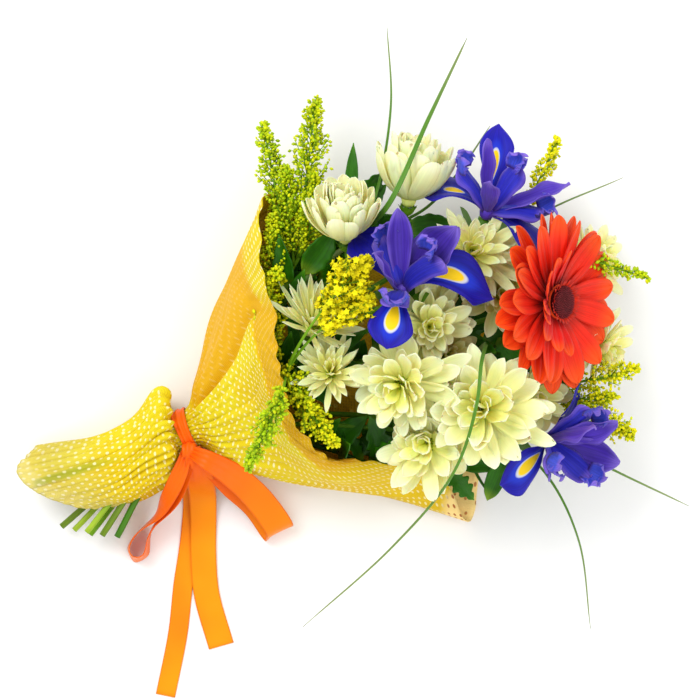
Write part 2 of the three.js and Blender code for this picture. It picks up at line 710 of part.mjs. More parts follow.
// ---- bear grass ----
const grasses = [
  {
    name: "bear_grass_1",
    through: [[-40, 44, 60], [4, 82, 66]],
    blades: [
      { points: [[4, 80, 66], [22, 100, 104], [46, 152, 96], [70, 203, 70]], half: 1.7 },
      { points: [[2, 78, 66], [13, 104, 62], [23, 160, 66], [21, 212, 52]], half: 0.9 },
      { points: [[0, 76, 66], [44, 98, 60], [66, 122, 62], [85, 150, 58]], half: 0.9 },
    ],
  },
  {
    name: "bear_grass_2",
    through: [[0, -4, 40], [60, -2, 46], [82, 14, 62]],
    blades: [
      {
        points: [
          [82, 14, 62], [80, 13, 98], [76, 2, 126], [73, -22, 131], [61, -62, 108], [24, -112, 58],
          [-32, -165, 26],
        ],
        half: 1.4,
      },
      { points: [[60, -2, 46], [80, -28, 28], [122, -68, 28], [143, -110, 22], [152, -168, 8]], half: 0.9 },
      { points: [[60, -2, 46], [86, -22, 28], [150, -58, 32], [214, -89, 16]], half: 1.1 },
      { points: [[60, -2, 46], [80, 60, 44], [112, 92, 62], [168, 118, 54]], half: 0.9 },
    ],
  },
];

// A long narrow blade, keeled below, that tapers to its tip.
function grassBlade({ points, half, steps = 6 }, grow) {
  const curve = new THREE.CatmullRomCurve3(points.map(vec), false, "centripetal");
  const stations = [];
  for (let i = 0; i <= steps; i++) {
    const t = i / steps;
    const tangent = curve.getTangentAt(t);
    const side = tangent.clone().cross(up).normalize();
    const normal = side.clone().cross(tangent);
    const width = i === steps ? 0 : half * (1 - 0.55 * t);
    stations.push({ at: curve.getPointAt(t), side, normal, half: width, cup: 0, thick: 1 - 0.3 * t });
  }
  return blade(stations, true, grow);
}

// ---- chrysanthemum stems: each forks to its blooms ----
const sprays = [
  { name: "chrysanthemum_stem_1", through: [[-30, 44, 56], [-8, 56, 60]], heads: [1, 2] },
  { name: "chrysanthemum_stem_2", through: [[-58, -14, 50], [-36, -4, 66]], heads: [3, 4] },
  { name: "chrysanthemum_stem_3", through: [[-30, -14, 50], [16, 0, 58]], heads: [5, 6, 10] },
  { name: "chrysanthemum_stem_4", through: [[-30, -36, 42], [36, -40, 46]], heads: [7, 8, 11] },
  { name: "chrysanthemum_stem_5", through: [[-10, 30, 38], [66, 44, 36]], heads: [9, 12, 13, 14] },
];

const calyxDepth = 5;
const calyxWidth = 4.6;
const pedicelRadii = [1.4, 1.1];
const pedicelBend = 16; // how far below the bloom's middle its stalk turns towards the fork
function pedicel(flower, fork, grow) {
  const { n } = flower.axes;
  const top = along(flower.at, n, -(flower.coreRadius + gap + calyxDepth * 0.8));
  const below = along(flower.at, n, -(flower.coreRadius + pedicelBend));
  const line = stemCurve([fork, below, top]).getPoints(3);
  return [stem(line, pedicelRadii, 4, grow), calyx(flower, calyxWidth, calyxDepth, grow)];
}

function spray(s, grow) {
  const made = [stem(s.line, [stemRadius, 1.5], 4, grow)];
  for (const number of s.heads) {
    made.push(...pedicel(chrysanthemums[number - 1], s.through[s.through.length - 1], grow));
  }
  return made;
}

// One bloom on one stem.
const underBloom = (flower) => along(flower.at, flower.axes.n, -(flower.coreRadius + gap + 2));
const gerberaStem = { name: "gerbera_stem", through: [[20, 8, 46], [96, 34, 58]], flower: gerbera };
const irisStems = [
  { name: "iris_stem_1", through: [[-34, 10, 58], [18, 26, 72]], flower: irises[0] },
  { name: "iris_stem_2", through: [[0, 42, 50], [72, 84, 54]], flower: irises[1] },
  { name: "iris_stem_3", through: [[0, -30, 34], [90, -46, 46]], flower: irises[2] },
];
for (const s of [gerberaStem, ...irisStems]) s.through.push(underBloom(s.flower));

const singleStem = (s, calyxSize, grow) => [
  stem(s.line, [stemRadius, 1.6], 5, grow),
  calyx(s.flower, calyxSize.wide, calyxSize.depth, grow),
];

// ---- the wrap ----
// A sheet gathered round the stems. Each loop lists eight points round it, from the bouquet's upper-left
// side over the top to its lower-right side and back underneath; the last loop, the rim, has sixteen.
const skirtEnd = [
  [-201, -51, 18], [-213, -65, 30], [-200, -79, 35], [-172, -89, 33],
  [-144, -86, 20], [-166, -84, 4], [-195, -76, 0], [-209, -61, 2],
];
const skirtMiddle = [
  [-158, -43, 20], [-156, -50, 35], [-151, -65, 41], [-146, -80, 34],
  [-137, -85, 18], [-147, -79, 4], [-155, -65, 0], [-159, -50, 4],
];
const skirtFlare = [
  [-124, -17, 24], [-123, -28, 42], [-120, -45, 47], [-119, -61, 37],
  [-118, -72, 20], [-119, -64, 5], [-122, -49, 0], [-125, -29, 4],
];
const coneLow = [
  [-99, -8, 24], [-93, -18, 48], [-85, -35, 58], [-80, -51, 50],
  [-77, -63, 26], [-80, -54, 5], [-88, -36, 0], [-96, -19, 4],
];
const coneMiddle = [
  [-89, 31, 30], [-75, 9, 74], [-59, -21, 90], [-48, -48, 76],
  [-39, -72, 34], [-41, -60, 4], [-59, -20, 0], [-82, 17, 4],
];
const coneHigh = [
  [-74, 62, 44], [-63, 35, 92], [-52, -11, 103], [-35, -49, 92],
  [10, -79, 30], [17, -67, 2], [11, -2, 0], [-41, 55, 3],
];
const rim = [
  [-53, 107, 62], [-56, 64, 92], [-50, 35, 106], [-45, 2, 110], [-40, -24, 106], [-31, -44, 96],
  [-14, -58, 76], [16, -59, 54], [55, -70, 34], [75, -99, 8], [84, -54, 1], [107, -12, 0],
  [112, 30, 0], [88, 72, 0], [40, 89, 1], [-15, 96, 14],
];

function tieLoop(distance) {
  const centre = along(tieCentre, tieAxis, distance);
  return Array.from({ length: 8 }, (_, k) => {
    const a = (Math.PI * k) / 4;
    const beside = along(centre, tieAcross, tieRadius * Math.cos(a));
    return beside.addScaledVector(tieUp, tieRadius * Math.sin(a)).toArray();
  });
}

const wrapLoops = [
  skirtEnd,
  skirtMiddle,
  skirtFlare,
  tieLoop(-tieHalfLength),
  tieLoop(tieHalfLength),
  coneLow,
  coneMiddle,
  coneHigh,
  rim,
].map((loop) => new THREE.CatmullRomCurve3(loop.map(vec), true, "catmullrom", 0.5));

// The sheet's outer face: u runs round it, v along it from the stem ends to the rim. It lies flat on the
// table.
function wrapPoint(u, v) {
  const stops = wrapLoops.map((loop) => loop.getPoint(u % 1));
  const at = new THREE.CatmullRomCurve3(stops, false, "centripetal").getPoint(v);
  at.z = Math.max(at.z, 0);
  return at;
}

const wrapRound = 16;
const wrapAlong = 16;
function wrapSheet(grow) {
  const step = 1e-3;
  const outer = [];
  const inner = [];
  for (let i = 0; i <= wrapAlong; i++) {
    const v = i / wrapAlong;
    const rings = [[], []];
    for (let k = 0; k < wrapRound; k++) {
      const u = k / wrapRound;
      const at = wrapPoint(u, v);
      const round = wrapPoint(u + step, v).sub(wrapPoint(u + 1 - step, v));
      const ahead = wrapPoint(u, Math.min(v + step, 1)).sub(wrapPoint(u, Math.max(v - step, 0)));
      const inward = ahead.clone().cross(round).normalize();
      at.addScaledVector(ahead.normalize(), { 0: -grow, [wrapAlong]: grow }[i] ?? 0);
      rings[0].push(along(at, inward, -grow));
      rings[1].push(along(at, inward, wrapThickness + grow));
    }
    outer.push(rings[0]);
    inner.push(rings[1]);
  }
  return closedSheet(outer, inner);
}

// Two grids of rings, one inside the other, joined at both rims into one thin wall.
function closedSheet(outer, inner) {
  const round = outer[0].length;
  const count = outer.length;
  const points = [...outer.flat(), ...inner.flat()];
  const faces = [];
  const quad = (a, b, c, d) => faces.push(a, b, c, a, c, d);
  const spot = (layer, i, k) => layer * count * round + i * round + (k % round);
  for (let k = 0; k < round; k++) {
    for (let i = 0; i + 1 < count; i++) {
      quad(spot(0, i, k), spot(0, i, k + 1), spot(0, i + 1, k + 1), spot(0, i + 1, k));
      faces.push(spot(1, i, k), spot(1, i + 1, k + 1), spot(1, i, k + 1));
      faces.push(spot(1, i, k), spot(1, i + 1, k), spot(1, i + 1, k + 1));
    }
    quad(spot(1, 0, k), spot(1, 0, k + 1), spot(0, 0, k + 1), spot(0, 0, k));
    quad(spot(0, count - 1, k), spot(0, count - 1, k + 1), spot(1, count - 1, k + 1), spot(1, count - 1, k));
  }
  const position = new THREE.BufferAttribute(new Float32Array(points.flatMap((p) => [p.x, p.y, p.z])), 3);
  return new THREE.BufferGeometry().setAttribute("position", position).setIndex(faces);
}

// ---- the ribbon ----
// A strip through `points`; `edges` gives the direction across it at each point, `widths` its width there.
function strip({ points, edges, widths }, grow) {
  const centres = points.map(vec);
  const rings = centres.map((at, i) => {
    const before = centres[Math.max(i - 1, 0)];
    const after = centres[Math.min(i + 1, centres.length - 1)];
    const run = after.clone().sub(before).normalize();
    const side = vec(edges[i]).addScaledVector(run, -vec(edges[i]).dot(run)).normalize();
    const face = side.clone().cross(run);
    const wide = widths[i] / 2 + grow;
    const deep = ribbonThickness / 2 + grow;
    const corners = [[-1, 1], [1, 1], [1, -1], [-1, -1]];
    return corners.map(([s, f]) => along(at, side, s * wide).addScaledVector(face, f * deep));
  });
  return skin(rings);
}

const knotAt = [-103, -53, 38];
const flat = [1, 0, 0]; // the way across a tail that lies along the table
const ribbonStrips = [
  {
    points: [
      knotAt, [-102, -63, 36], [-101, -74, 22], [-100, -84, 7], [-98, -98, 2.4], [-97, -120, 1.6],
      [-95, -146, 1.2], [-85, -180, 0.45],
    ],
    edges: [flat, flat, flat, flat, flat, flat, [1, 0.1, 0], [1, 0.35, 0]],
    widths: [7, 13, 16.5, 16.5, 16.5, 16.5, 16.5, 16.5],
  },
  {
    points: [
      knotAt, [-106, -64, 30], [-107, -76, 12], [-107, -88, 2], [-108, -112, 0.45],
      [-110, -140, 0.45], [-113, -172, 0.45], [-121, -212, 0.45],
    ],
    edges: [flat, flat, flat, flat, flat, flat, [1, -0.1, 0], [1, -0.2, 0]],
    widths: [7, 10, 12, 12, 12, 12.5, 12.5, 12.5],
  },
  {
    points: [
      [-104.5, -53, 38], [-108, -67, 38], [-114, -82, 32], [-126, -99, 15], [-140, -114, 8.6],
      [-139, -122, 8.6], [-132, -119, 8.6], [-119, -97, 18], [-107, -78, 33], [-101.5, -53, 38],
    ],
    edges: [up, up, up, up, up, up, up, up, up, up],
    widths: [7, 12, 16, 16.5, 16.5, 16.5, 16.5, 16.5, 12, 7],
  },
  {
    points: [
      [-103, -53, 39.6], [-92, -58, 49], [-76, -68, 42], [-60, -84, 28], [-47, -104, 14],
      [-50, -106, 3], [-62, -90, 8], [-78, -76, 22], [-103, -53, 36.4],
    ],
    edges: [
      [0.3, 0.9, 0], [0.4, 0.9, 0], [0.6, 0.8, 0], [0.85, 0.5, 0], [0.9, 0.45, 0], [0.9, 0.45, 0],
      [0.85, 0.5, 0], [0.6, 0.8, 0], [0.3, 0.9, 0],
    ],
    widths: [7, 12, 16, 18, 18.5, 18.5, 17, 14, 7],
  },
];

function ribbon(grow) {
  const inside = tieRadius + 2 * gap - grow;
  const outside = inside + 1.2 + 2 * grow;
  const half = 4.5 + grow;
  const profile = [[inside, -half], [outside, -half], [outside, half], [inside, half], [inside, -half]];
  const band = new THREE.LatheGeometry(profile.map(([r, h]) => new THREE.Vector2(r, h)), 12);
  const turn = new THREE.Quaternion().setFromUnitVectors(new THREE.Vector3(0, 1, 0), tieAxis);
  const knot = new THREE.IcosahedronGeometry(1, 0).scale(5 + grow, 6.5 + grow, 4 + grow).translate(...knotAt);
  return [
    band.applyQuaternion(turn).translate(...tieCentre),
    knot,
    ...ribbonStrips.map((s) => strip(s, grow)),
  ];
}

// ---- assembly ----
const allStems = [...sprays, gerberaStem, ...irisStems, ...goldenrods, ...foliage, ...grasses];
placeStems(allStems);
bendClear(allStems);
const leadStem = (s, thin, grow) => stem(s.line, [stemRadius, thin], 4, grow);
const rooted = (s, shoot) => ({ ...shoot, from: rootOn(s.line, shoot.from) });
const rootedPlume = (s, p, index) => ({ ...rooted(s, p), seed: s.seed * 3 + index });
const grown = (s, { points: [first, ...rest], half }) => ({ points: [rootOn(s.line, first), ...rest], half });

const gerberaCalyx = { wide: 8, depth: 9 };
const irisCalyx = { wide: 4.2, depth: 26 };
const pieces = [
  ...sprays.map((s) => ({ name: s.name, material: materials.stem, make: (g) => spray(s, g) })),
  {
    name: gerberaStem.name,
    material: materials.stem,
    make: (g) => singleStem(gerberaStem, gerberaCalyx, g),
  },
  ...irisStems.map((s) => ({
    name: s.name,
    material: materials.stem,
    make: (g) => singleStem(s, irisCalyx, g),
  })),
  { name: "ribbon", material: materials.ribbon, make: ribbon },
  { name: "wrap", material: materials.wrap, make: (g) => [wrapSheet(g)] },
  ...grasses.map((s) => ({
    name: s.name,
    material: materials.grass,
    make: (g) => [leadStem(s, 1.5, g), ...s.blades.map((b) => grassBlade(grown(s, b), g))],
  })),
  { name: "gerbera_petals", material: materials.gerbera, make: gerberaPetals },
  { name: "gerbera_disc", material: materials.gerberaDisc, make: gerberaDisc },
  ...irises.map((f) => ({ name: f.name, material: materials.iris, make: (g) => iris(f, g) })),
  ...chrysanthemums.map((f) => ({
    name: f.name,
    material: materials.cream,
    make: (g) => chrysanthemum(f, g),
  })),
  ...goldenrods.map((s) => ({
    name: s.name,
    material: materials.goldenrod,
    make: (g) => [leadStem(s, 1.1, g), ...s.plumes.flatMap((p, i) => plume(rootedPlume(s, p, i), g))],
  })),
  ...foliage.map((s) => ({
    name: s.name,
    material: materials.leaf,
    make: (g) => [leadStem(s, 1, g), ...s.leaves.map((l) => leaf(rooted(s, l), g))],
  })),
];

const largestOf = (solid) => {
  const parts = solid.decompose();
  return parts.reduce((best, part) => (part.volume() > best.volume() ? part : best));
};
const boxesMeet = (a, b) => [0, 1, 2].every((i) => a.min[i] < b.max[i] && b.min[i] < a.max[i]);

// Earlier pieces keep their whole shape; a later one is cut back to lie just clear of them.
const bouquet = new THREE.Group();
const done = [];
for (const piece of pieces) {
  let solid = fuse(piece.make(0));
  for (const earlier of done) {
    if (!boxesMeet(solid.boundingBox(), earlier.reach.boundingBox())) continue;
    if (solid.intersect(earlier.reach).isEmpty()) continue;
    solid = solid.subtract(earlier.reach);
  }
  solid = largestOf(solid).simplify(smallestDetail);
  done.push({ reach: fuse(piece.make(gap)) });
  const { vertProperties, triVerts } = solid.getMesh();
  const geometry = new THREE.BufferGeometry();
  geometry.setAttribute("position", new THREE.BufferAttribute(new Float32Array(vertProperties), 3));
  geometry.setIndex(new THREE.BufferAttribute(new Uint32Array(triVerts), 1));
  const mesh = new THREE.Mesh(geometry, piece.material);
  mesh.name = piece.name;
  bouquet.add(mesh);
}

export default bouquet;
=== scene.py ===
import bpy
import numpy as np
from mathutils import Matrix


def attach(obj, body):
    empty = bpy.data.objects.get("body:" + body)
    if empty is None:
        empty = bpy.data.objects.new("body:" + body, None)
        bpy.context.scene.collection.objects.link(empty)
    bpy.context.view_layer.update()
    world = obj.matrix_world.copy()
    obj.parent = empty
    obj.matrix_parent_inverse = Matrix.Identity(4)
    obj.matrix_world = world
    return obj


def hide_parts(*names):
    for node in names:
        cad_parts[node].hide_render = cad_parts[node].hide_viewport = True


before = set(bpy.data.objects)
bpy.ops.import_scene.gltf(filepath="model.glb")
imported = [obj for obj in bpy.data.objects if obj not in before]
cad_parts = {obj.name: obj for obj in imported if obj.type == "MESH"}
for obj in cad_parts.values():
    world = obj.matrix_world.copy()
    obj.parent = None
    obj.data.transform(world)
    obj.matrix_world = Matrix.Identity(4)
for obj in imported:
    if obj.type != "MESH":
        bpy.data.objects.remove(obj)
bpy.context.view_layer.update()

mm = 0.001  # every shape below is worked out in millimetres
tau = 2 * np.pi

cameraPlan = {"x": -2.17, "y": 10.54, "height": 1690.0, "lens": 135.0, "sensor": 36.0}

cameraData = bpy.data.cameras.new("overheadCamera")
cameraData.lens = cameraPlan["lens"]
cameraData.sensor_width = cameraPlan["sensor"]
cameraData.clip_start = 0.05
cameraData.clip_end = 30.0
overheadCamera = bpy.data.objects.new("overheadCamera", cameraData)
overheadCamera.location = (cameraPlan["x"] * mm, cameraPlan["y"] * mm, cameraPlan["height"] * mm)
bpy.context.scene.collection.objects.link(overheadCamera)
bpy.context.scene.camera = overheadCamera
print("camera placed")


def unit(a):
    # each vector divided by its own length
    a = np.asarray(a, float)
    return a / np.maximum(np.linalg.norm(a, axis=-1, keepdims=True), 1e-9)


def vary(seed, index):
    # the fraction part of a large sine, spread over -1 to 1, the same each run
    x = np.sin(seed * 12.9898 + np.asarray(index, float) * 78.233) * 43758.5453
    return 2 * (x - np.floor(x)) - 1


def ease(x, low, high):
    # 0 below low, 1 above high, and 3x² - 2x³ between
    x = np.clip((np.asarray(x, float) - low) / (high - low), 0, 1)
    return x * x * (3 - 2 * x)


def hump(x, middle, width):
    # 1 at the middle, falling as e^(-d²), where d is the distance from it in widths
    return np.exp(-((x - middle) / width) ** 2)


def around(angle, x, y):
    # cos·x + sin·y, the way that lies at this angle in the plane of x and y
    return np.cos(angle) * x + np.sin(angle) * y


def ringAngles(sides):
    # even steps round a circle
    return np.linspace(0, tau, sides, endpoint=False)[None, :, None]


def together(*parts):
    # arrays spread over one another and put side by side on a last axis
    return np.stack(np.broadcast_arrays(*parts), -1)


def axesOf(facing):
    # n is the way a bloom faces, u and v lie across it
    n = unit(facing)
    across = [0, 0, 1] if abs(n[2]) < 0.95 else [0, 1, 0]
    u = unit(np.cross(across, n))
    return n, u, np.cross(n, u)


def cubic(b, c, leaving, arriving, w):
    # the cubic from b to c with these slopes at its two ends
    bend = 3 * (c - b) - 2 * leaving - arriving
    return b + leaving * w + bend * w**2 + (2 * (b - c) + leaving + arriving) * w**3


def curveAt(points, t):
    # centripetal Catmull-Rom: slopes come from the square roots of the gaps between the points
    p = np.asarray(points, float)
    p = np.concatenate([[2 * p[0] - p[1]], p, [2 * p[-1] - p[-2]]])
    x = np.asarray(t, float) * (len(p) - 3)
    i = np.clip(x.astype(int), 0, len(p) - 4)
    w = (x - i).reshape((-1,) + (1,) * (p.ndim - 1))
    a, b, c, d = (p[i + k] for k in range(4))
    gaps = (b - a, c - b, d - c)
    ab, bc, cd = (np.sqrt(np.maximum(np.linalg.norm(e, axis=-1, keepdims=True), 1e-6)) for e in gaps)
    leaving = ((b - a) / ab - (c - a) / (ab + bc) + (c - b) / bc) * bc
    arriving = ((c - b) / bc - (d - b) / (bc + cd) + (d - c) / cd) * bc
    return cubic(b, c, leaving, arriving, w)


def loopAt(points, t):
    # closed Catmull-Rom: each slope is half the step between the points on either side
    p = np.asarray(points, float)
    x = (np.asarray(t, float) % 1) * len(p)
    i = x.astype(int)
    a, b, c, d = (p[(i + k - 1) % len(p)] for k in range(4))
    return cubic(b, c, (c - a) / 2, (d - b) / 2, (x - i)[:, None])


def bezierAt(start, middle, end, t):
    # quadratic Bezier, and its slope
    t = np.asarray(t, float)[..., None]
    at = (1 - t) ** 2 * start + 2 * t * (1 - t) * middle + t**2 * end
    return at, 2 * (1 - t) * (middle - start) + 2 * t * (end - middle)


def rootOn(line, wanted):
    # the point of a polyline nearest to the wanted one
    a, b = line[:-1], line[1:]
    t = np.clip(((wanted - a) * (b - a)).sum(1) / ((b - a) ** 2).sum(1), 0, 1)[:, None]
    near = a + t * (b - a)
    return near[np.argmin(np.linalg.norm(near - wanted, axis=1))]


def gridFaces(count, rows, cols, ring=False, seam=False):
    # quads of count grids of rows x cols points; a ring's last column meets its first, or at a seam one more
    i, k = np.meshgrid(np.arange(rows - 1), np.arange(cols if ring else cols - 1), indexing="ij")
    stride = cols + 1 if seam else cols
    beside = k + 1 if seam else (k + 1) % cols
    low, high = i * stride, (i + 1) * stride
    quads = np.stack([low + k, low + beside, high + beside, high + k], -1)
    return (quads.reshape(1, -1, 4) + (np.arange(count) * rows * stride)[:, None, None]).reshape(-1, 4)


def chunkOf(points, ring=False, closed=True, uv=None, look=(0, 0, 0)):
    # points is (count, rows, cols, 3). A ring's uv has one more column, so that both sides of its seam keep
    # their own place. look is three numbers for each grid or each point, which the material reads.
    count, rows, cols = points.shape[:3]
    columns = cols + 1 if ring else cols
    faces = [gridFaces(count, rows, cols, ring)]
    corners = [gridFaces(count, rows, cols, ring, seam=ring)]
    if ring and closed:
        for made, stride in ((faces, cols), (corners, columns)):
            first = (np.arange(count) * rows * stride)[:, None]
            made += [first + np.arange(cols)[::-1], first + (rows - 1) * stride + np.arange(cols)]
    if uv is None:
        across, along = np.meshgrid(np.linspace(-1, 1, columns), np.linspace(0, 1, rows))
        uv = np.stack([across, along], -1)
    uv = np.broadcast_to(uv, (count, rows, columns, 2)).reshape(-1, 2)
    look = np.asarray(look, float)
    look = np.broadcast_to(look if look.ndim == 4 else look.reshape(-1, 1, 1, 3), (count, rows, cols, 3))
    return points.reshape(-1, 3), faces, np.concatenate([uv[c.ravel()] for c in corners]), look.reshape(-1, 3)


def makePiece(name, chunks, materials, nodes, thick=0.0):
    # a second material goes on the inner side of the wall
    materials = materials if isinstance(materials, tuple) else (materials,)
    points = np.concatenate([c[0] for c in chunks]) * mm
    uv = np.concatenate([c[2] for c in chunks])
    look = np.concatenate([c[3] for c in chunks])
    first = np.cumsum([0] + [len(c[0]) for c in chunks])
    faces = [f + start for c, start in zip(chunks, first) for f in c[1]]
    loops = np.concatenate([f.ravel() for f in faces]).astype(np.int32)
    sizes = np.concatenate([np.full(len(f), f.shape[1]) for f in faces])
    mesh = bpy.data.meshes.new(name)
    mesh.vertices.add(len(points))
    mesh.vertices.foreach_set("co", points.astype(np.float32).ravel())
    mesh.loops.add(len(loops))
    mesh.loops.foreach_set("vertex_index", loops)
    mesh.polygons.add(len(sizes))
    mesh.polygons.foreach_set("loop_start", (np.cumsum(sizes) - sizes).astype(np.int32))
    mesh.polygons.foreach_set("use_smooth", np.ones(len(sizes), bool))
    mesh.update(calc_edges=True)
    mesh.uv_layers.new(name="surface").data.foreach_set("uv", uv.astype(np.float32).ravel())
    kept = mesh.attributes.new("look", "FLOAT_VECTOR", "POINT")
    kept.data.foreach_set("vector", look.astype(np.float32).ravel())
    mesh.validate()
    for material in materials:
        mesh.materials.append(material)
    piece = bpy.data.objects.new(name, mesh)
    bpy.context.scene.collection.objects.link(piece)
    if thick:
        wall = piece.modifiers.new("wall", "SOLIDIFY")
        wall.thickness = thick * mm
        wall.offset = 0.0
        wall.material_offset = len(materials) - 1
    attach(piece, "root")
    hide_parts(*nodes)
    return piece


bundleSide = unit([0.48, -0.87, 0.0])  # level, square to the way the bouquet points
formSide = [0.31, 0.17, 0.93]  # small forms and branchlets are turned from this way
goldenAngle = 137.5  # degrees from one leaf, branchlet or floret to the next


def tube(line, radii, sides=8, look=(0, 0, 0)):
    # rings square to the line, all turned from the same side, closed by a face at both ends
    run = unit(np.gradient(line, axis=0))
    x = unit(np.cross(run, bundleSide))
    spokes = around(ringAngles(sides), x[:, None], np.cross(run, x)[:, None])
    return chunkOf((line[:, None] + np.reshape(radii, (-1, 1, 1)) * spokes)[None], True, look=look)


def turnedForms(at, toward, length, radius, profile, sides=6, look=(0, 0, 0), star=1.0):
    # One profile of (share of the length, share of the radius) turned about each form's own axis; where
    # star is below 1, every second side lies in by that share, which makes points.
    at = np.atleast_2d(np.asarray(at, float))
    n = unit(np.broadcast_to(toward, at.shape))
    u = unit(np.cross(n, formSide))
    spokes = around(ringAngles(sides), u[:, None], np.cross(n, u)[:, None])
    spokes = spokes * np.where(np.arange(sides) % 2, star, 1.0)[:, None]
    share, wide = np.asarray(profile, float).T[:, None, :, None, None]
    length, radius = (np.broadcast_to(size, len(at))[:, None, None, None] for size in (length, radius))
    middle = at[:, None, None] + n[:, None, None] * share * length
    return chunkOf(middle + spokes[:, None] * wide * radius, True, look=look)


def petalGrids(flower, rows, cols, look=(0, 0, 0), **petal):
    # A petal's middle line leaves the axis at its azimuth and rises by rise + curl·s degrees, so it runs
    # along (sin(r + c·s) - sin r)/c outwards and (cos r - cos(r + c·s))/c upwards. Its half width is
    # base + (1 - base)·sin(s/peak)^flare, rounded off past the peak; its edges stand up by cup·t²,
    # ridges run along it as cos(3πt), and ripples run along its edges.
    n, u, v = flower["axes"]
    get = lambda key, usual=0.0: np.asarray(petal.get(key, usual), float).reshape(-1, 1)
    s = np.sin(np.linspace(0, np.pi / 2, rows))[None]
    length, half, peak, base = get("length"), get("half"), get("peak"), get("base")
    azimuth, rise = np.radians(get("azimuth")), np.radians(get("rise"))
    curl = np.radians(np.where(np.abs(get("curl")) < 0.5, 0.5, get("curl")))
    angle = rise + curl * s
    outward = get("start") + length * (np.sin(angle) - np.sin(rise)) / curl
    upward = get("lift") + length * (np.cos(rise) - np.cos(angle)) / curl
    drift = get("drift") * length * s**2
    out = around(azimuth, u, v)[:, None]
    side = np.cross(n, out)
    middle = flower["at"] + out * outward[..., None] + n * upward[..., None] + side * drift[..., None]
    angle = angle[..., None]
    run = out * np.cos(angle) + n * np.sin(angle)
    normal = n * np.cos(angle) - out * np.sin(angle)
    tilt = np.radians(get("tilt") + get("twist") * s)[..., None]
    across = side * np.cos(tilt) + normal * np.sin(tilt)
    normal = normal * np.cos(tilt) - side * np.sin(tilt)
    grown = base + (1 - base) * np.sin(np.pi / 2 * np.clip(s / peak, 0, 1)) ** get("flare", 1)
    tip = (1 - np.clip((s - peak) / (1 - peak), 0, 1) ** get("round", 2.4)) ** get("point", 0.6)
    wide = (half * np.maximum(grown * tip, 0.03))[..., None]
    t, s = np.linspace(-1, 1, cols)[None, None], s[..., None]
    high = wide * (get("cup")[..., None] * t**2 + get("ridge")[..., None] * np.cos(3 * np.pi * t))
    wave = np.sin(tau * (get("waves", 2)[..., None] * s + 0.37 * np.sign(t)) + 9 * azimuth[..., None])
    high = high + (get("ripple") * half)[..., None] * wave * np.abs(t) ** 3 * s
    back = (get("notch") * length)[..., None] * s**8 * (1 + np.cos(3 * np.pi * t)) / 2
    points = middle[:, :, None] + across[:, :, None] * (wide * t)[..., None]
    points = points + normal[:, :, None] * high[..., None] - run[:, :, None] * back[..., None]
    return chunkOf(points, uv=together(t, s), look=look)


def put(kind, values, tree=None, **settings):
    # One node, its settings, and its inputs given as numbers, colours or other nodes' outputs. It goes
    # into the tree of the first output given, or else into the one named.
    linked = {key: value for key, value in values.items() if isinstance(value, bpy.types.NodeSocket)}
    tree = tree or next(iter(linked.values())).id_data
    made = tree.nodes.new("ShaderNode" + kind)
    for key, value in settings.items():
        setattr(made, key, value)
    for key, value in values.items():
        if key in linked:
            tree.links.new(value, made.inputs[key])
        else:
            made.inputs[key].default_value = value
    return made


def tone(red, green, blue):
    # a colour from its screen values, 0 to 255
    return tuple((c / 255) ** 2.2 for c in (red, green, blue)) + (1.0,)


def blend(share, first, second):
    # the first colour where share is 0, the second where it is 1
    return put("Mix", {0: share, 6: first, 7: second}, data_type="RGBA").outputs[2]


def band(value, low, high, start=0.0, end=1.0):
    # eases from start to end as the value goes from low to high
    values = {"Value": value, "From Min": low, "From Max": high, "To Min": start, "To Max": end}
    return put("MapRange", values, interpolation_type="SMOOTHSTEP").outputs[0]


def sums(kind, a, b=0.0, c=0.0):
    # one step of arithmetic, named as Blender's Math node names it
    return put("Math", {0: a, 1: b, 2: c}, operation=kind).outputs[0]


def times(a, b):
    # a·b
    return sums("MULTIPLY", a, b)


def wash(body, mask, share, colour):
    # a screen colour laid over the body by a share of the mask
    return blend(times(mask, share), body, tone(*colour))


def farOff(x, y):
    # the root of x² + y²
    return sums("SQRT", sums("MULTIPLY_ADD", x, x, times(y, y)))


def objectPlace(tree):
    # x, y and z in metres, which stay with the piece
    return put("TexCoord", {}, tree).outputs["Object"]


def noise(vector, scale, detail=3.0):
    # cloudy values about 0.5, scale of them to a unit of the vector
    values = {"Vector": vector, "Scale": scale, "Detail": detail, "Roughness": 0.55}
    return put("TexNoise", values).outputs[0]


def surfaceShares(tree):
    # across and along the surface from its UV map, and the look numbers of each grid
    uv = put("UVMap", {}, tree, uv_map="surface").outputs[0]
    spot = put("SeparateXYZ", {0: uv}).outputs
    look = put("Attribute", {}, tree, attribute_name="look").outputs["Vector"]
    part = put("SeparateXYZ", {0: look}).outputs
    return spot[0], spot[1], part[0], part[1], part[2]


def stretched(across, along, third):
    # a place whose three numbers grow at their own rates, so that noise read there is drawn out
    return put("CombineXYZ", {0: across, 1: along, 2: third}).outputs[0]


def newGroup(name, inputs, outputs):
    # an empty node group with these sockets
    group = bpy.data.node_groups.new(name, "ShaderNodeTree")
    for label, kind, usual in inputs:
        socket = group.interface.new_socket(label, in_out="INPUT", socket_type="NodeSocket" + kind)
        socket.default_value = usual
    for label, kind in outputs:
        group.interface.new_socket(label, in_out="OUTPUT", socket_type="NodeSocket" + kind)
    return group, group.nodes.new("NodeGroupInput").outputs, group.nodes.new("NodeGroupOutput").inputs


def newMaterial(name, roughness, **plain):
    # a material with its plain values set on the shader's own sockets
    material = bpy.data.materials.new(name)
    material.use_nodes = True
    shader = material.node_tree.nodes["Principled BSDF"]
    shader.inputs["Roughness"].default_value = roughness
    shader.inputs["Specular IOR Level"].default_value = 0.25
    for key, value in plain.items():
        shader.inputs[key].default_value = value
    return material, material.node_tree, shader


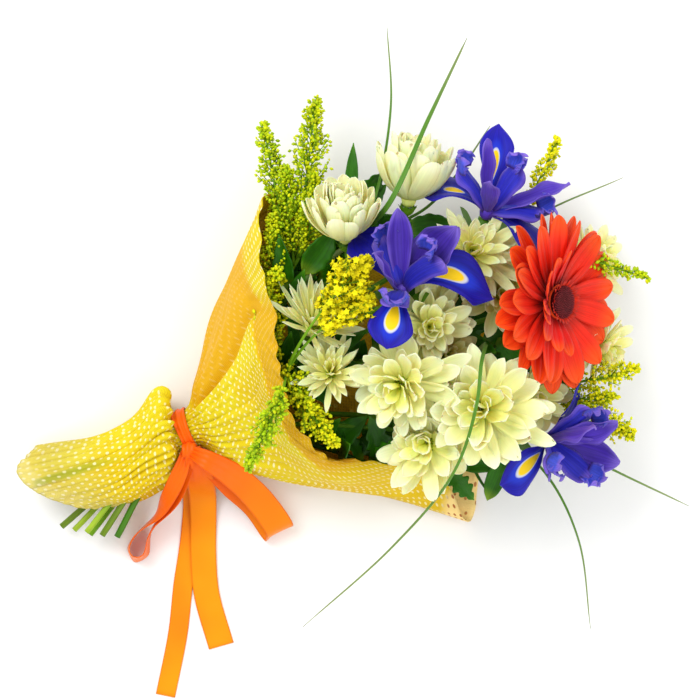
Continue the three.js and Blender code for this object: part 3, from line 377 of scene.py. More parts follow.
def finishWith(shader, colour, height, strength, distance=0.4 * mm, roughness=None):
    # colour and bump to the shader, and roughness where it changes over the surface
    tree = shader.id_data
    tree.links.new(colour, shader.inputs["Base Color"])
    bump = put("Bump", {"Height": height, "Strength": strength, "Distance": distance})
    tree.links.new(bump.outputs[0], shader.inputs["Normal"])
    if roughness is not None:
        tree.links.new(roughness, shader.inputs["Roughness"])


def veinedGroup():
    # root, body and tip colours blended along a petal or leaf, fine veins along it, and a shade of its own
    usual = {"Root End": 0.4, "Tip Start": 0.8, "Veins": 0.2, "Vary": 0.15}
    inputs = [(end, "Color", (0, 0, 0, 1)) for end in ("Root", "Body", "Tip")]
    inputs += [(label, "Float", value) for label, value in usual.items()]
    group, given, wanted = newGroup("veinedSurface", inputs, [("Color", "Color"), ("Height", "Float")])
    across, along, chance, _, _ = surfaceShares(group)
    colour = blend(band(along, 0.0, given["Root End"]), given["Root"], given["Body"])
    colour = blend(band(along, given["Tip Start"], 1.0), colour, given["Tip"])
    drawnOut = stretched(times(across, 9.0), along, times(chance, 31.0))
    lines = noise(drawnOut, 1.3)
    cloudy = noise(objectPlace(group), 90.0, 2.0)
    dim = times(band(lines, 0.62, 0.38), given["Veins"])
    colour = blend(dim, colour, (0.0, 0.0, 0.0, 1.0))
    shift = sums("MULTIPLY_ADD", sums("SUBTRACT", cloudy, 0.5), given["Vary"], 1.0)
    shift = sums("MULTIPLY_ADD", chance, times(given["Vary"], 0.5), shift)
    bright = put("HueSaturation", {"Value": shift, "Color": colour}).outputs[0]
    group.links.new(bright, wanted["Color"])
    group.links.new(lines, wanted["Height"])
    return group


veined = veinedGroup()


def veinedNode(tree, root, body, tip, rootEnd=0.4, tipStart=0.8, veins=0.2, change=0.15):
    # the group placed in a material, with that material's own values
    values = {"Root": root, "Body": body, "Tip": tip, "Root End": rootEnd, "Tip Start": tipStart}
    made = put("Group", {**values, "Veins": veins, "Vary": change}, tree, node_tree=veined)
    return made.outputs["Color"], made.outputs["Height"]


def veinedMaterial(name, roughness, root, body, tip, strength, **more):
    # screen colours at the root, over the body and at the tip
    material, tree, shader = newMaterial(name, roughness)
    colour, height = veinedNode(tree, tone(*root), tone(*body), tone(*tip), **more)
    finishWith(shader, colour, height, strength)
    return material


def areaLight(name, place, size, power):
    # a round soft light that looks at the table's middle
    data = bpy.data.lights.new(name, "AREA")
    data.shape = "DISK"
    data.size = size
    data.energy = power
    lamp = bpy.data.objects.new(name, data)
    lamp.location = place
    lamp.rotation_euler = lamp.location.to_track_quat("Z", "Y").to_euler()
    bpy.context.scene.collection.objects.link(lamp)


studio = {"sky": 0.92, "floor": (0.95, 0.95, 0.945, 1.0), "key": 15.0, "fill": 6.0}
world = bpy.data.worlds.new("studioSky")
world.use_nodes = True
world.node_tree.nodes["Background"].inputs["Color"].default_value = (1.0, 1.0, 1.0, 1.0)
world.node_tree.nodes["Background"].inputs["Strength"].default_value = studio["sky"]
bpy.context.scene.world = world
bpy.context.scene.view_settings.view_transform = "Standard"
areaLight("keyLight", (-0.7, 0.8, 1.5), 1.0, studio["key"])
areaLight("fillLight", (1.0, -0.6, 1.2), 1.2, studio["fill"])
floorMesh = bpy.data.meshes.new("paleFloor")
floorCorners = [(-4, -4, -0.0002), (4, -4, -0.0002), (4, 4, -0.0002), (-4, 4, -0.0002)]
floorMesh.from_pydata(floorCorners, [], [(0, 1, 2, 3)])
floorMaterial, _, floorShader = newMaterial("paleFloor", 0.9)
floorShader.inputs["Base Color"].default_value = studio["floor"]
floorMesh.materials.append(floorMaterial)
paleFloor = bpy.data.objects.new("paleFloor", floorMesh)
bpy.context.scene.collection.objects.link(paleFloor)
print("stage ready")

tie = {
    "centre": np.array([-106.0, -41.0, 24.0]),
    "radius": 13.1,
    "halfLength": 5.0,
    "heads": np.array([0.87, 0.48, 0.1]),
    "ends": np.array([-0.955, -0.295, -0.04]),
}
tieAxis = unit(tie["heads"] - tie["ends"])
tieAcross = unit(np.cross([0, 0, 1], tieAxis))
tieUp = np.cross(tieAxis, tieAcross)

wrapPlan = {
    "skirtEnd": [[-201, -51, 18], [-213, -65, 30], [-200, -79, 35], [-172, -89, 33],
                 [-144, -86, 20], [-166, -84, 4], [-195, -76, 0], [-209, -61, 2]],
    "skirtMiddle": [[-158, -43, 20], [-156, -50, 35], [-151, -65, 41], [-146, -80, 34],
                    [-137, -85, 18], [-147, -79, 4], [-155, -65, 0], [-159, -50, 4]],
    "skirtFlare": [[-122, -17, 24], [-120, -27, 41], [-118, -44, 46], [-118, -61, 37],
                   [-118, -72, 20], [-119, -64, 5], [-122, -49, 0], [-124, -29, 4]],
    "coneLow": [[-99, -8, 24], [-93, -18, 48], [-85, -35, 58], [-80, -51, 50],
                [-77, -63, 26], [-80, -54, 5], [-88, -36, 0], [-96, -19, 4]],
    "coneMiddle": [[-89, 31, 30], [-75, 9, 74], [-59, -21, 90], [-48, -48, 76],
                   [-39, -72, 34], [-41, -60, 4], [-59, -20, 0], [-82, 17, 4]],
    "coneHigh": [[-74, 62, 44], [-63, 35, 92], [-52, -11, 103], [-35, -49, 92],
                 [10, -79, 30], [17, -67, 2], [11, -2, 0], [-41, 55, 3]],
    "rim": [[-53, 107, 62], [-56, 64, 92], [-50, 35, 106], [-45, 2, 110],
            [-40, -24, 106], [-31, -44, 96], [-14, -58, 76], [16, -59, 54],
            [55, -70, 34], [75, -99, 8], [84, -54, 1], [107, -12, 0],
            [112, 30, 0], [88, 72, 0], [40, 89, 1], [-15, 96, 14]],
    "round": 252,
    "along": 150,
    "thick": 0.5,
    "lowest": 0.3,
    "flat": (0.54, 0.32),  # the cut: a fan 540 mm round its rim edge and 320 mm from rim to skirt
    "area": 0.098,
    "topTurn": 0.25,  # the share of the way round that faces straight up
    "tieShare": 0.4375,  # the tie's place along the cloth
    "coneShare": 0.5,  # and where the cone starts
    "fanTurn": 2.19,  # the flat fan's angle, in radians
    "fanInner": 37,  # and its radius at the tie
    "foldHeight": [1.8, 1.6, 3.2, 0.9, 0.9, 2.0, 2.6, 2.2, 2.2],
    "foldFine": [0.5, 0.6, 0.8, 1.0, 1.0, 0.75, 0.35, 0.2, 0.15],
}


def tieLoop(distance):
    # eight points round the tie, this far along it
    a = np.arange(8)[:, None] * tau / 8
    return tie["centre"] + tieAxis * distance + tie["radius"] * around(a, tieAcross, tieUp)


def ridged(x):
    # a row of round folds with a sharp crease between each two
    return 2 * np.abs(np.sin(x / 2)) ** 0.75 - 1


def makeWrap(materials):
    # Curves through the loops, one for each way round. The cloth then moves along its own normal by
    # fine gathers near the tie, which join into broad folds towards both ends, by a deep crease beside
    # the front panel, and in, just behind the frill that stands up at the tie.
    plan = wrapPlan
    # turned is 0 at the top, and grows towards the viewer's side
    turned = np.arange(plan["round"]) / plan["round"] - 0.5
    u = (turned + plan["topTurn"]) % 1
    v = np.linspace(0, 1, plan["along"])
    loops = [plan["skirtEnd"], plan["skirtMiddle"], plan["skirtFlare"], tieLoop(-tie["halfLength"]),
             tieLoop(tie["halfLength"]), plan["coneLow"], plan["coneMiddle"], plan["coneHigh"], plan["rim"]]
    cloth = curveAt(np.array([loopAt(loop, u) for loop in loops]), v)
    roundWay = np.roll(cloth, -1, 1) - np.roll(cloth, 1, 1)
    outward = unit(np.cross(roundWay, np.gradient(cloth, axis=0)))
    at = np.arange(len(loops)) / (len(loops) - 1)
    high = np.interp(v, at, plan["foldHeight"])[:, None]
    fine = np.interp(v, at, plan["foldFine"])[:, None]
    turn = tau * u[None]
    v = v[:, None]
    lean = 0.5 * np.sin(5 * v)
    broad = 0.6 * np.sin(6 * turn + 1.4 * np.sin(2 * turn) + lean) + 0.4 * np.sin(11 * turn - 2 * lean + 1)
    gathers = 0.7 * ridged(23 * turn + 2 * np.sin(3 * turn) + lean) + 0.3 * np.sin(37 * turn + 3 * lean)
    fold = (1 - fine) * broad + fine * gathers
    nearTie = 1 - ease(np.abs(v - plan["tieShare"]), 0.07, 0.16)
    moved = high * (fold - nearTie)
    moved = moved + ease(v, 0.93, 1.0) * 1.3 * np.sin(31 * turn + 3 * np.sin(5 * turn))
    # the frill, and the narrow place behind it
    moved = moved + hump(v, 0.265, 0.045) * (1.5 * np.sin(17 * turn) + 1.0 * np.sin(9 * turn + 2) + 1.6)
    moved = moved - 3.5 * hump(v, 0.18, 0.035) * ease(turned, 0.2, 0.0) * ease(turned, -0.45, -0.3)
    onCone = ease(v, 0.55, 0.64) * (1 - ease(v, 0.84, 0.9))
    moved = moved + onCone * (3.4 * hump(turned, -0.165, 0.028) - 5.0 * hump(turned, -0.122, 0.011))
    # small uneven crinkles, and a strip along the rim that lies a little lower
    crinkles = np.sin(52 * turn + 9 * v + 3 * np.sin(4 * turn)) * np.sin(21 * v + 5 * np.sin(3 * turn))
    moved = moved + 0.5 * crinkles
    strip = ease(turned, -0.16, -0.12) * ease(turned, 0.2, 0.15)
    cloth = cloth + outward * (moved - 1.6 * ease(v, 0.862, 0.874) * strip)[..., None]
    cloth[..., 2] = np.maximum(cloth[..., 2], plan["lowest"])
    # laid flat: the cone is a fan about a point below the tie, the skirt a plain strip
    lengths = np.linalg.norm(np.diff(cloth, axis=0), axis=2).mean(1)
    along = np.concatenate([[0], np.cumsum(lengths)])
    along = (along - np.interp(plan["coneShare"], v[:, 0], along))[:, None]
    spread = plan["fanTurn"] * (np.arange(plan["round"] + 1) / plan["round"] - 0.5)
    inner = plan["fanInner"]
    skirtWide = inner * np.sin(spread) * (1 + np.minimum(-along, 30) / 35)
    flatX = np.where(along > 0, (along + inner) * np.sin(spread), skirtWide)
    flatY = np.where(along > 0, (along + inner) * np.cos(spread) - inner, along + 0 * spread)
    # golden places: beyond the crease, along the strip, and a paler one on the viewer's side
    beyond = ease(turned, -0.118, -0.13) * ease(turned, -0.36, -0.3)
    golden = beyond * ease(v, 0.5, 0.6) * (1 - ease(v, 0.91, 0.94))
    golden = golden + 0.85 * strip * ease(v, 0.862, 0.872)
    golden = golden + 0.3 * ease(turned, 0.1, 0.2) * ease(turned, 0.42, 0.32) * ease(v, 0.72, 0.82)
    look = together(v, turned, golden)[None]
    cloth = chunkOf(cloth[None], True, False, np.stack([flatX, flatY], -1), look)
    return makePiece("dottedWrap", [cloth], materials, ["wrap"], plan["thick"])


def clothGroup():
    # rows of small dots, every second row half a step over, and fine threads both ways, in mm of cloth
    dotStep, rowStep, threadTurn = 4.2, 3.3, 7.0
    inputs = [("Dot", "Float", 0.7), ("Pitch", "Float", 1.0)]
    group, given, wanted = newGroup("dottedWeave", inputs, [("Dots", "Float"), ("Threads", "Float")])
    x, y, _, _, _ = surfaceShares(group)
    x, y = sums("DIVIDE", x, given["Pitch"]), sums("DIVIDE", y, given["Pitch"])
    row = sums("DIVIDE", y, rowStep)
    odd = times(sums("FLOORED_MODULO", sums("FLOOR", row), 2.0), 0.5)
    column = sums("ADD", sums("DIVIDE", x, dotStep), odd)
    dx, dy = (times(sums("SUBTRACT", sums("FRACT", cell), 0.5), step)
              for cell, step in ((column, dotStep), (row, rowStep)))
    dots = band(sums("DIVIDE", farOff(dx, dy), given["Dot"]), 1.25, 0.7)
    warp, weft = (sums("SINE", times(way, threadTurn)) for way in (x, y))
    group.links.new(dots, wanted["Dots"])
    group.links.new(times(warp, weft), wanted["Threads"])
    return group


dottedWeave = clothGroup()

clothPlan = {
    "dottedMesh": {"light": (240, 224, 30), "deep": (232, 202, 8), "golden": (234, 176, 4),
                   "dots": (253, 247, 190), "dotShare": 0.85, "dotSize": 0.78, "pitch": 1.0},
    # the inside face is the same cloth in darker, more orange tones: painted shade inside the cone; its dots
    # are also fewer and fainter
    "dottedMeshInside": {"light": (232, 186, 26), "deep": (206, 150, 8), "golden": (214, 148, 4),
                         "dots": (244, 220, 110), "dotShare": 0.45, "dotSize": 0.5, "pitch": 1.6},
}


def wrapMaterial(name):
    # two tones drift over each other; golden places have few dots, and the skirt's end is pale and sheer
    plan = clothPlan[name]
    material, tree, shader = newMaterial(name, 0.6)
    given = {"Dot": plan["dotSize"], "Pitch": plan["pitch"]}
    weave = put("Group", given, tree, node_tree=dottedWeave).outputs
    dots, threads = weave["Dots"], weave["Threads"]
    x, y, along, _, golden = surfaceShares(tree)
    place = objectPlace(tree)
    drift = band(noise(place, 22.0, 3.0), 0.35, 0.65)
    body = blend(drift, tone(*plan["deep"]), tone(*plan["light"]))
    body = wash(body, band(noise(place, 8.0, 2.0), 0.45, 0.65), 0.35, plan["golden"])
    body = blend(golden, body, tone(*plan["golden"]))
    # painted shade: the cloth turns darker and more ochre from 30 mm down towards the floor
    under = band(put("SeparateXYZ", {0: place}).outputs[2], 0.03, 0.004)
    body = wash(body, under, 0.55, (206, 158, 6))
    paleEnd = band(along, 0.14, 0.02)
    body = wash(body, paleEnd, 0.45, (238, 226, 130))
    # one stem's shadow shows green through the skirt: a bar from the skirt's end, in metres
    fromEnd = put("VectorMath", {0: place, 1: (-0.2, -0.0735, 0.03)}, operation="SUBTRACT").outputs[0]
    down, aside = (put("VectorMath", {0: fromEnd, 1: way}, operation="DOT_PRODUCT").outputs["Value"]
                   for way in ((0.95, 0.3, 0.0), (-0.3, 0.95, 0.0)))
    bar = band(sums("ABSOLUTE", aside), 0.0036, 0.0012)
    shadow = times(times(bar, band(down, 0.065, 0.03)), band(down, -0.004, 0.002))
    body = wash(body, shadow, 0.6, (150, 170, 20))
    # the corner nearest the viewer is peach, with brown dots
    corner = put("VectorMath", {0: place, 1: (0.079, -0.086, 0.012)}, operation="DISTANCE")
    corner = band(corner.outputs["Value"], 0.027, 0.02)
    body = blend(corner, body, tone(255, 220, 140))
    gapShare = sums("MULTIPLY_ADD", corner, -0.3, 0.3)
    body = wash(body, band(threads, 0.2, -0.6), gapShare, (150, 112, 8))
    spots = blend(corner, tone(*plan["dots"]), tone(176, 96, 40))
    share = sums("MULTIPLY_ADD", golden, -0.85 * plan["dotShare"], plan["dotShare"])
    share = times(dots, sums("MULTIPLY_ADD", corner, 0.5, share))
    colour = blend(share, body, spots)
    crumpled = noise(stretched(times(x, 0.5), times(y, 0.14), 0.0), 1.0)
    height = sums("MULTIPLY_ADD", dots, 0.8, times(threads, 0.4))
    height = sums("MULTIPLY_ADD", crumpled, 3.0, height)
    finishWith(shader, colour, height, 0.6, 0.35 * mm)
    tree.links.new(sums("MULTIPLY_ADD", paleEnd, -0.32, 0.98), shader.inputs["Alpha"])
    return material


dottedWrap = makeWrap(tuple(wrapMaterial(name) for name in clothPlan))
print("wrap made")

knotAt = [-103, -53, 38]
ribbonPlan = {
    "thick": 0.6,
    "lowest": 0.35,
    "knot": (4.6, 5.2, 3.9),  # half its length, width and height
    "knotTurn": 5.5,  # the knot's mean radius, for the ribbon's length
    "band": (4.2, 1.5),  # half the band's width, and how far it stands off the wrap
    "wideTail": {
        "points": [[-101, -51, 40], [-98.5, -60, 39.5], [-97, -72, 27], [-96.5, -84, 9],
                   [-96.5, -98, 2.6], [-96.5, -120, 1.6], [-94.5, -146, 1.2], [-85, -180, 0.45]],
        "edges": [[1, 0, 0]] * 6 + [[1, 0.1, 0], [1, 0.35, 0]],
        "widths": [9, 15.5, 18, 17.5, 17, 16.5, 16.5, 16.5],
        "deep": 42,  # how far from the knot its colour is deeper
    },
    "narrowTail": {
        "points": [knotAt, [-104, -64, 30], [-104, -76, 12], [-103.5, -88, 1.2],
                   [-105.5, -112, 0.45], [-109.5, -140, 0.45], [-113, -172, 0.45], [-121, -212, 0.45]],
        "edges": [[1, 0, 0]] * 6 + [[1, -0.1, 0], [1, -0.2, 0]],
        "widths": [7, 10, 12, 12, 12, 12.5, 12.5, 12.5],
        "deep": 36,
    },
    "leftLoop": {
        "points": [[-104.5, -53, 38], [-109, -66, 38], [-117, -82, 32], [-128, -97, 17], [-139.5, -108, 9.2],
                   [-144, -117, 8.8], [-140, -123.5, 8.8], [-133.5, -121, 8.8], [-130.5, -108, 10.5],
                   [-124.5, -97.5, 17], [-111, -79, 31], [-101.5, -53, 37]],
        "edges": [[0.85, -0.4, 0.1], [0.85, -0.45, 0.1], [0.6, -0.35, 0.7], [0.1, -0.05, 1],
                  [0, 0, 1], [0.15, 0, 1], [0.05, 0.3, 0.95], [-0.15, 0.1, 1],
                  [0, 0, 1], [0.1, -0.05, 1], [0.6, -0.35, 0.5], [0.85, -0.4, 0]],
        "widths": [7, 10, 13, 15.5, 16, 16, 16, 16, 16, 15.5, 11, 7],
        "deep": 150,
    },
    "rightLoop": {
        "points": [[-103, -53, 39.6], [-92, -58, 49], [-76, -68, 42], [-60, -84, 28], [-47, -104, 14],
                   [-50, -106, 3], [-62, -90, 8], [-78, -76, 22], [-103, -53, 36.4]],
        "edges": [[0.3, 0.9, 0], [0.4, 0.9, 0], [0.6, 0.8, 0], [0.85, 0.5, 0], [0.9, 0.45, 0],
                  [0.9, 0.45, 0], [0.85, 0.5, 0], [0.6, 0.8, 0], [0.3, 0.9, 0]],
        "widths": [7, 12, 16, 18, 18.5, 18.5, 17, 14, 7],
        "deep": 95,
    },
}


def ribbonStrip(strip, rows=90, cols=13):
    # The middle line is a curve through the points; the way across is blended between them and kept
    # square to the line. Near the knot the strip is gathered into lengthwise folds, cos(3.5πt), and
    # its colour is deeper.
    t = np.linspace(0, 1, rows)
    stops = np.linspace(0, 1, len(strip["points"]))
    line = curveAt(strip["points"], t)
    run = unit(np.gradient(line, axis=0))
    edge = np.stack([np.interp(t, stops, way) for way in np.array(strip["edges"], float).T], -1)
    side = unit(edge - (edge * run).sum(-1, keepdims=True) * run)
    face = np.cross(side, run)
    half = np.interp(t, stops, strip["widths"])[:, None] / 2
    away = np.linalg.norm(line - np.array(knotAt), axis=1)[:, None]
    w = np.linspace(-1, 1, cols)[None]
    high = 1.7 * np.exp(-away / 11) * np.cos(3.5 * np.pi * w + 1) * (1 - 0.3 * w**2) + 0.3 * (1 - w**2)
    points = line[:, None] + side[:, None] * (half * w)[..., None] + face[:, None] * high[..., None]
    points[..., 2] = np.maximum(points[..., 2], ribbonPlan["lowest"])
    length = np.concatenate([[0], np.cumsum(np.linalg.norm(np.diff(line, axis=0), axis=1))])[:, None]
    look = together(w, ease(away, strip["deep"], 0.2 * strip["deep"]), 0.0)[None]
    return chunkOf(points[None], uv=together(half * w, length), look=look), length[-1, 0]


def ribbonTurn(ring, w, radius):
    # a closed turn of ribbon, with its places across it and along it
    places = together(8 * w, radius * np.linspace(0, tau, ring.shape[1] + 1)[None])
    return chunkOf(ring[None], True, False, places, (0, 1, 0))


def makeRibbon(material):
    # four strips, a band round the tie and a knot over it; also the ribbon's whole length
    chunks, total = [], 0.0
    for key in ("wideTail", "narrowTail", "leftLoop", "rightLoop"):
        chunk, length = ribbonStrip(ribbonPlan[key])
        chunks.append(chunk)
        total += length
    # the band round the neck: a ring whose width is scrunched into folds that run round it
    a = np.linspace(0, tau, 96, endpoint=False)[None]
    w = np.linspace(-1, 1, 15)[:, None]
    folded = 0.55 * np.cos(2.2 * np.pi * w + 1.3 * np.sin(a)) * (1 - 0.4 * w**2)
    bandHalf, standOff = ribbonPlan["band"]
    radius = tie["radius"] + standOff + folded - 0.5 * w**2
    offset = bandHalf * w * (1 + 0.12 * np.sin(2 * a + 1))
    ring = tie["centre"] + tieAxis * offset[..., None]
    chunks.append(ribbonTurn(ring + radius[..., None] * around(a[..., None], tieAcross, tieUp), w, 15))
    # the knot: a short scrunched turn over the band
    a = np.linspace(0, tau, 48, endpoint=False)[None]
    w = np.linspace(-1, 1, 13)[:, None]
    bulge = 1 - 0.35 * w**2 + 0.09 * np.cos(2.5 * np.pi * w + 2 * np.sin(a))
    long, wide, high = ribbonPlan["knot"]
    place = [long * w + 0 * a, wide * bulge * np.cos(a), high * bulge * np.sin(a)]
    ways = ([1, 0.1, 0], [-0.1, 1, 0], [0, 0, 1])
    knot = np.array(knotAt) + sum(p[..., None] * np.array(way) for p, way in zip(place, ways))
    chunks.append(ribbonTurn(knot, w, 6))
    total += tau * tie["radius"] + tau * ribbonPlan["knotTurn"]
    piece = makePiece("satinRibbon", chunks, material, ["ribbon"], ribbonPlan["thick"])
    return piece, total


def ribbonMaterial():
    # smooth orange satin, redder towards the knot, with fine threads across and a slightly darker selvedge
    gloss = {"Sheen Weight": 0.04, "Specular IOR Level": 0.16}
    material, tree, shader = newMaterial("orangeSatin", 0.36, **gloss)
    x, y, across, redder, _ = surfaceShares(tree)
    soft = band(noise(objectPlace(tree), 14.0, 2.0), 0.35, 0.65)
    colour = blend(soft, tone(242, 130, 0), tone(248, 152, 0))
    colour = wash(colour, redder, 0.7, (242, 76, 0))
    selvedge = band(sums("ABSOLUTE", across), 0.86, 0.97)
    colour = wash(colour, selvedge, 0.3, (206, 70, 2))
    threads = sums("SINE", times(y, 16.0))
    height = sums("MULTIPLY_ADD", selvedge, 1.5, threads)
    glossy = noise(stretched(times(x, 0.4), y, 0.0), 0.2)
    finishWith(shader, colour, height, 0.08, 0.2 * mm, band(glossy, 0.3, 0.7, 0.3, 0.42))
    return material


satinRibbon, ribbonLength = makeRibbon(ribbonMaterial())
print("ribbon made, mm long:", round(ribbonLength))

stemPlan = {
    "radius": 1.9,
    "clear": 4.9,  # between two stems' middle lines
    "pitch": 4.6,  # between neighbours at the tie
    "bundle": 2.1,  # the bundle's radius at the tie, in pitches
    "leanOut": [2.2, 3.0],  # how far out a stem passes the tie for its lean, in pitches
    "reach": 92.0,  # from the tie to the cut ends
    "straight": 9.0,  # how far each side of the tie a stem runs straight
    "steps": 7,
    "rounds": 120,
    "fan": {"from": -4.0, "turn": 20.0, "turnPerMm": 2.7, "tiltPerMm": 0.5, "shorter": 1.5},
    "pedicel": (1.4, 1.1),
    "calyxWide": 4.6,
    "calyxDeep": 5.0,
}
# where each stem leads past the tie, up to its fork, its bloom or its end
stemRoutes = {
    "chrysanthemum_stem_1": [[-30, 44, 56], [-8, 56, 60]],
    "chrysanthemum_stem_2": [[-58, -14, 50], [-36, -4, 66]],
    "chrysanthemum_stem_3": [[-30, -14, 50], [16, 0, 58]],
    "chrysanthemum_stem_4": [[-30, -36, 42], [36, -40, 46]],
    "chrysanthemum_stem_5": [[-10, 30, 38], [66, 44, 36]],
    "gerbera_stem": [[20, 8, 46], [96, 34, 58], [117, 40.3, 87.7]],
    "iris_stem_1": [[-34, 10, 58], [18, 26, 72], [28.9, 42, 95.4]],
    "iris_stem_2": [[0, 42, 50], [72, 84, 54], [80.5, 89.8, 70.8]],
    "iris_stem_3": [[0, -30, 34], [90, -46, 46], [113.2, -43.6, 65.3]],
    "goldenrod_1": [[-55, 30, 50], [-34, 68, 56]],
    "goldenrod_2": [[-64, -17, 58], [-42, -5, 84]],
    "goldenrod_3": [[60, 8, 40], [120, -14, 46]],
    "goldenrod_4": [[40, 50, 44], [100, 82, 48]],
    "foliage_1": [[-48, 28, 40], [-10, 72, 46], [-2, 100, 56]],
    "foliage_2": [[-62, -2, 48], [-38, 8, 58], [-20, 14, 62]],
    "foliage_3": [[-30, -48, 38], [30, -66, 34], [74, -60, 34]],
    "foliage_4": [[0, 2, 28], [70, 14, 36], [112, 6, 42]],
    "bear_grass_1": [[-40, 44, 60], [4, 82, 66]],
    "bear_grass_2": [[0, -4, 40], [60, -2, 46], [82, 14, 62]],
}


def placesAtTie(routes):
    # A close-packed bundle: the middle and two rings round it. The stems that lean out most choose first,
    # each the free place nearest its own lean, which is the slope of a straight line to its first point.
    pitch = stemPlan["pitch"]
    row, column = (grid.ravel() for grid in np.meshgrid(np.arange(-2, 3), np.arange(-4, 5), indexing="ij"))
    free = np.stack([column * pitch / 2, row * pitch * 0.75**0.5], -1)[(row + column) % 2 == 0]
    free = free[np.linalg.norm(free, axis=1) < stemPlan["bundle"] * pitch]
    ahead = unit(tie["heads"])
    across = unit(np.cross([0, 0, 1], ahead))
    offset = np.array([route[0] for route in routes]) - tie["centre"]
    leans = np.stack([offset @ across, offset @ np.cross(ahead, across)], -1) / (offset @ ahead)[:, None]
    places = np.zeros((len(routes), 2))
    for k in np.argsort(-np.linalg.norm(leans, axis=1), kind="stable"):
        miss = np.linalg.norm(free - leans[k] * pitch * np.array(stemPlan["leanOut"]), axis=1)
        places[k] = free[np.argmin(miss)]
        free = np.delete(free, np.argmin(miss), 0)
    return places


def stemLine(place, route):
    # From the cut end to the tie, where the lower stems fan out and end the sooner the more they turn,
    # then on a smooth curve through the stem's own points.
    across, high = place
    fan, ends, level = stemPlan["fan"], unit(tie["ends"]), [0, 0, 1]
    turn = fan["turn"] + fan["turnPerMm"] * (fan["from"] - across) + fan["tiltPerMm"] * high
    reach = stemPlan["reach"] + 4 - fan["shorter"] * (turn - fan["turn"])
    if across > fan["from"]:
        turn, reach = 0.0, stemPlan["reach"] + 6 * vary(3, across * 7 + high)
    endsAcross = unit(np.cross(ends, level))
    near = []
    for share, turned in ((1.0, turn), (0.5, 0.7 * turn)):
        c, s = np.cos(np.radians(turned)), np.sin(np.radians(turned))
        away = np.array([c * ends[0] - s * ends[1], s * ends[0] + c * ends[1], ends[2]])
        near.append(tie["centre"] + away * reach * share + endsAcross * across + np.array([0, 0, 0.9 * high]))
    for far in (-stemPlan["straight"], stemPlan["straight"]):
        near.append(tie["centre"] + tieAxis * far + tieAcross * across + tieUp * high)
    steps = stemPlan["steps"]
    share = (3 + len(route) * (np.arange(steps) + 1) / steps) / (3 + len(route))
    return np.concatenate([near, curveAt(np.array(near + route, float), share)])


def bentClear(lines):
    # Past the tie, where a point of one stem lies too near a stretch of another, both give way by a share
    # of what is missing, again and again. The ends of every line stay where they are.
    lines, own = lines.copy(), np.arange(len(lines))
    free = 4
    others = own[:, None, None, None, None] != own[None, None, :, None, None]
    for _ in range(stemPlan["rounds"]):
        start, p = lines[None, None, :, free - 1 : -1], lines[:, free:-1, None, None]
        step = lines[None, None, :, free:] - start
        t = np.clip(((p - start) * step).sum(-1) / (step**2).sum(-1), 0, 1)[..., None]
        away = p - start - t * step
        length = np.linalg.norm(away, axis=-1, keepdims=True)
        push = 0.3 * away / np.maximum(length, 1e-6) * (np.maximum(stemPlan["clear"] - length, 0) * others)
        given = push.sum((0, 1))
        lines[:, free:-1] += push.sum((2, 3))
        lines[:, free:-1] -= given[:, 1:] + given[:, :-1]
    return lines


routes = list(stemRoutes.values())
rough = np.array([stemLine(place, route) for place, route in zip(placesAtTie(routes), routes)])
stemLines = dict(zip(stemRoutes, bentClear(rough)))
# profiles of turned forms: share of the length, share of the radius
cupProfile = [(0, 0.2), (0.12, 0.5), (0.4, 0.78), (0.75, 0.95), (1, 1)]
spindle = [(0, 0.25), (0.3, 0.9), (0.65, 1), (1, 0.2)]
starProfile = [(0, 0.15), (0.55, 0.22), (0.85, 1), (0.8, 0.5), (0.7, 0.05)]
roundProfile = [(0, 0.05), (0.08, 0.54), (0.25, 0.87), (0.5, 1), (0.75, 0.87), (0.92, 0.54), (1, 0.05)]


def stemTube(name, thin, rows=70):
    # a stem along its line, thinner towards its top
    line = curveAt(stemLines[name], np.linspace(0, 1, rows))
    return tube(line, np.linspace(stemPlan["radius"], thin, rows), 10, (0.5 * vary(len(name), 3), 0, 0))


def calyxParts(flower, wide, deep, bracts=9):
    # a turned cup under the bloom, with pointed bracts that lie against it
    n = flower["axes"][0]
    base = flower["core"] + 0.35
    cup = turnedForms(flower["at"] - n * (base + deep), n, deep, wide, cupProfile, 12)
    k = np.arange(bracts)
    under = {"at": flower["at"] - n * (base + 0.7 * deep), "axes": flower["axes"]}
    leaves = petalGrids(
        under, 7, 3, azimuth=360 * k / bracts + 7 * vary(3, k), rise=52, curl=10, length=deep * 0.95 + 1.5,
        half=3.3 * wide / bracts, start=0.62 * wide, cup=0.3, peak=0.45, base=0.7, point=0.9)
    return [cup, leaves]


# number: form, middle, the way it faces, radius, how much painted olive shade it gets, and the side whose
# petals are longest
creamPlan = {
    1: ("cup", [34, 103, 72], [0.12, 0.96, 0.25], 27, 0.0, 0),
    2: ("cup", [-5, 79, 88], [-0.05, 0.85, 0.52], 24, 0.0, 0),
    3: ("narrow", [-26, 24, 84], [0.42, 0.68, 0.58], 32, 0.0, 250),
    4: ("narrow", [-14, -5, 86], [-0.05, 0.35, 0.93], 26, 0.1, 200),
    5: ("open", [45, 25, 84], [0.2, -0.05, 0.97], 26, 0.15, 120),
    6: ("open", [30, -9, 98], [-0.38, -0.34, 0.86], 33, 0.0, 60),
    7: ("open", [46, -46, 82], [-0.22, 0.02, 0.97], 29, 0.0, 300),
    8: ("open", [78, -25, 100], [-0.16, 0.05, 0.98], 36, 0.0, 340),
    9: ("spiky", [72, 70, 73], [0.1, 0.15, 0.98], 31, 0.05, 270),
    10: ("sparse", [56, 6, 66], [0.3, 0.2, 0.93], 24, 1.0, 0),
    11: ("sparse", [110, -17, 68], [0.3, -0.15, 0.94], 27, 0.5, 0),
    12: ("sparse", [90, 44, 62], [0.3, 0.1, 0.95], 27, 0.4, 0),
    13: ("sparse", [148, 66, 36], [0.8, 0.4, 0.45], 27, 0.0, 0),
    14: ("sparse", [153, 12, 40], [0.85, -0.25, 0.45], 27, 0.1, 0),
}
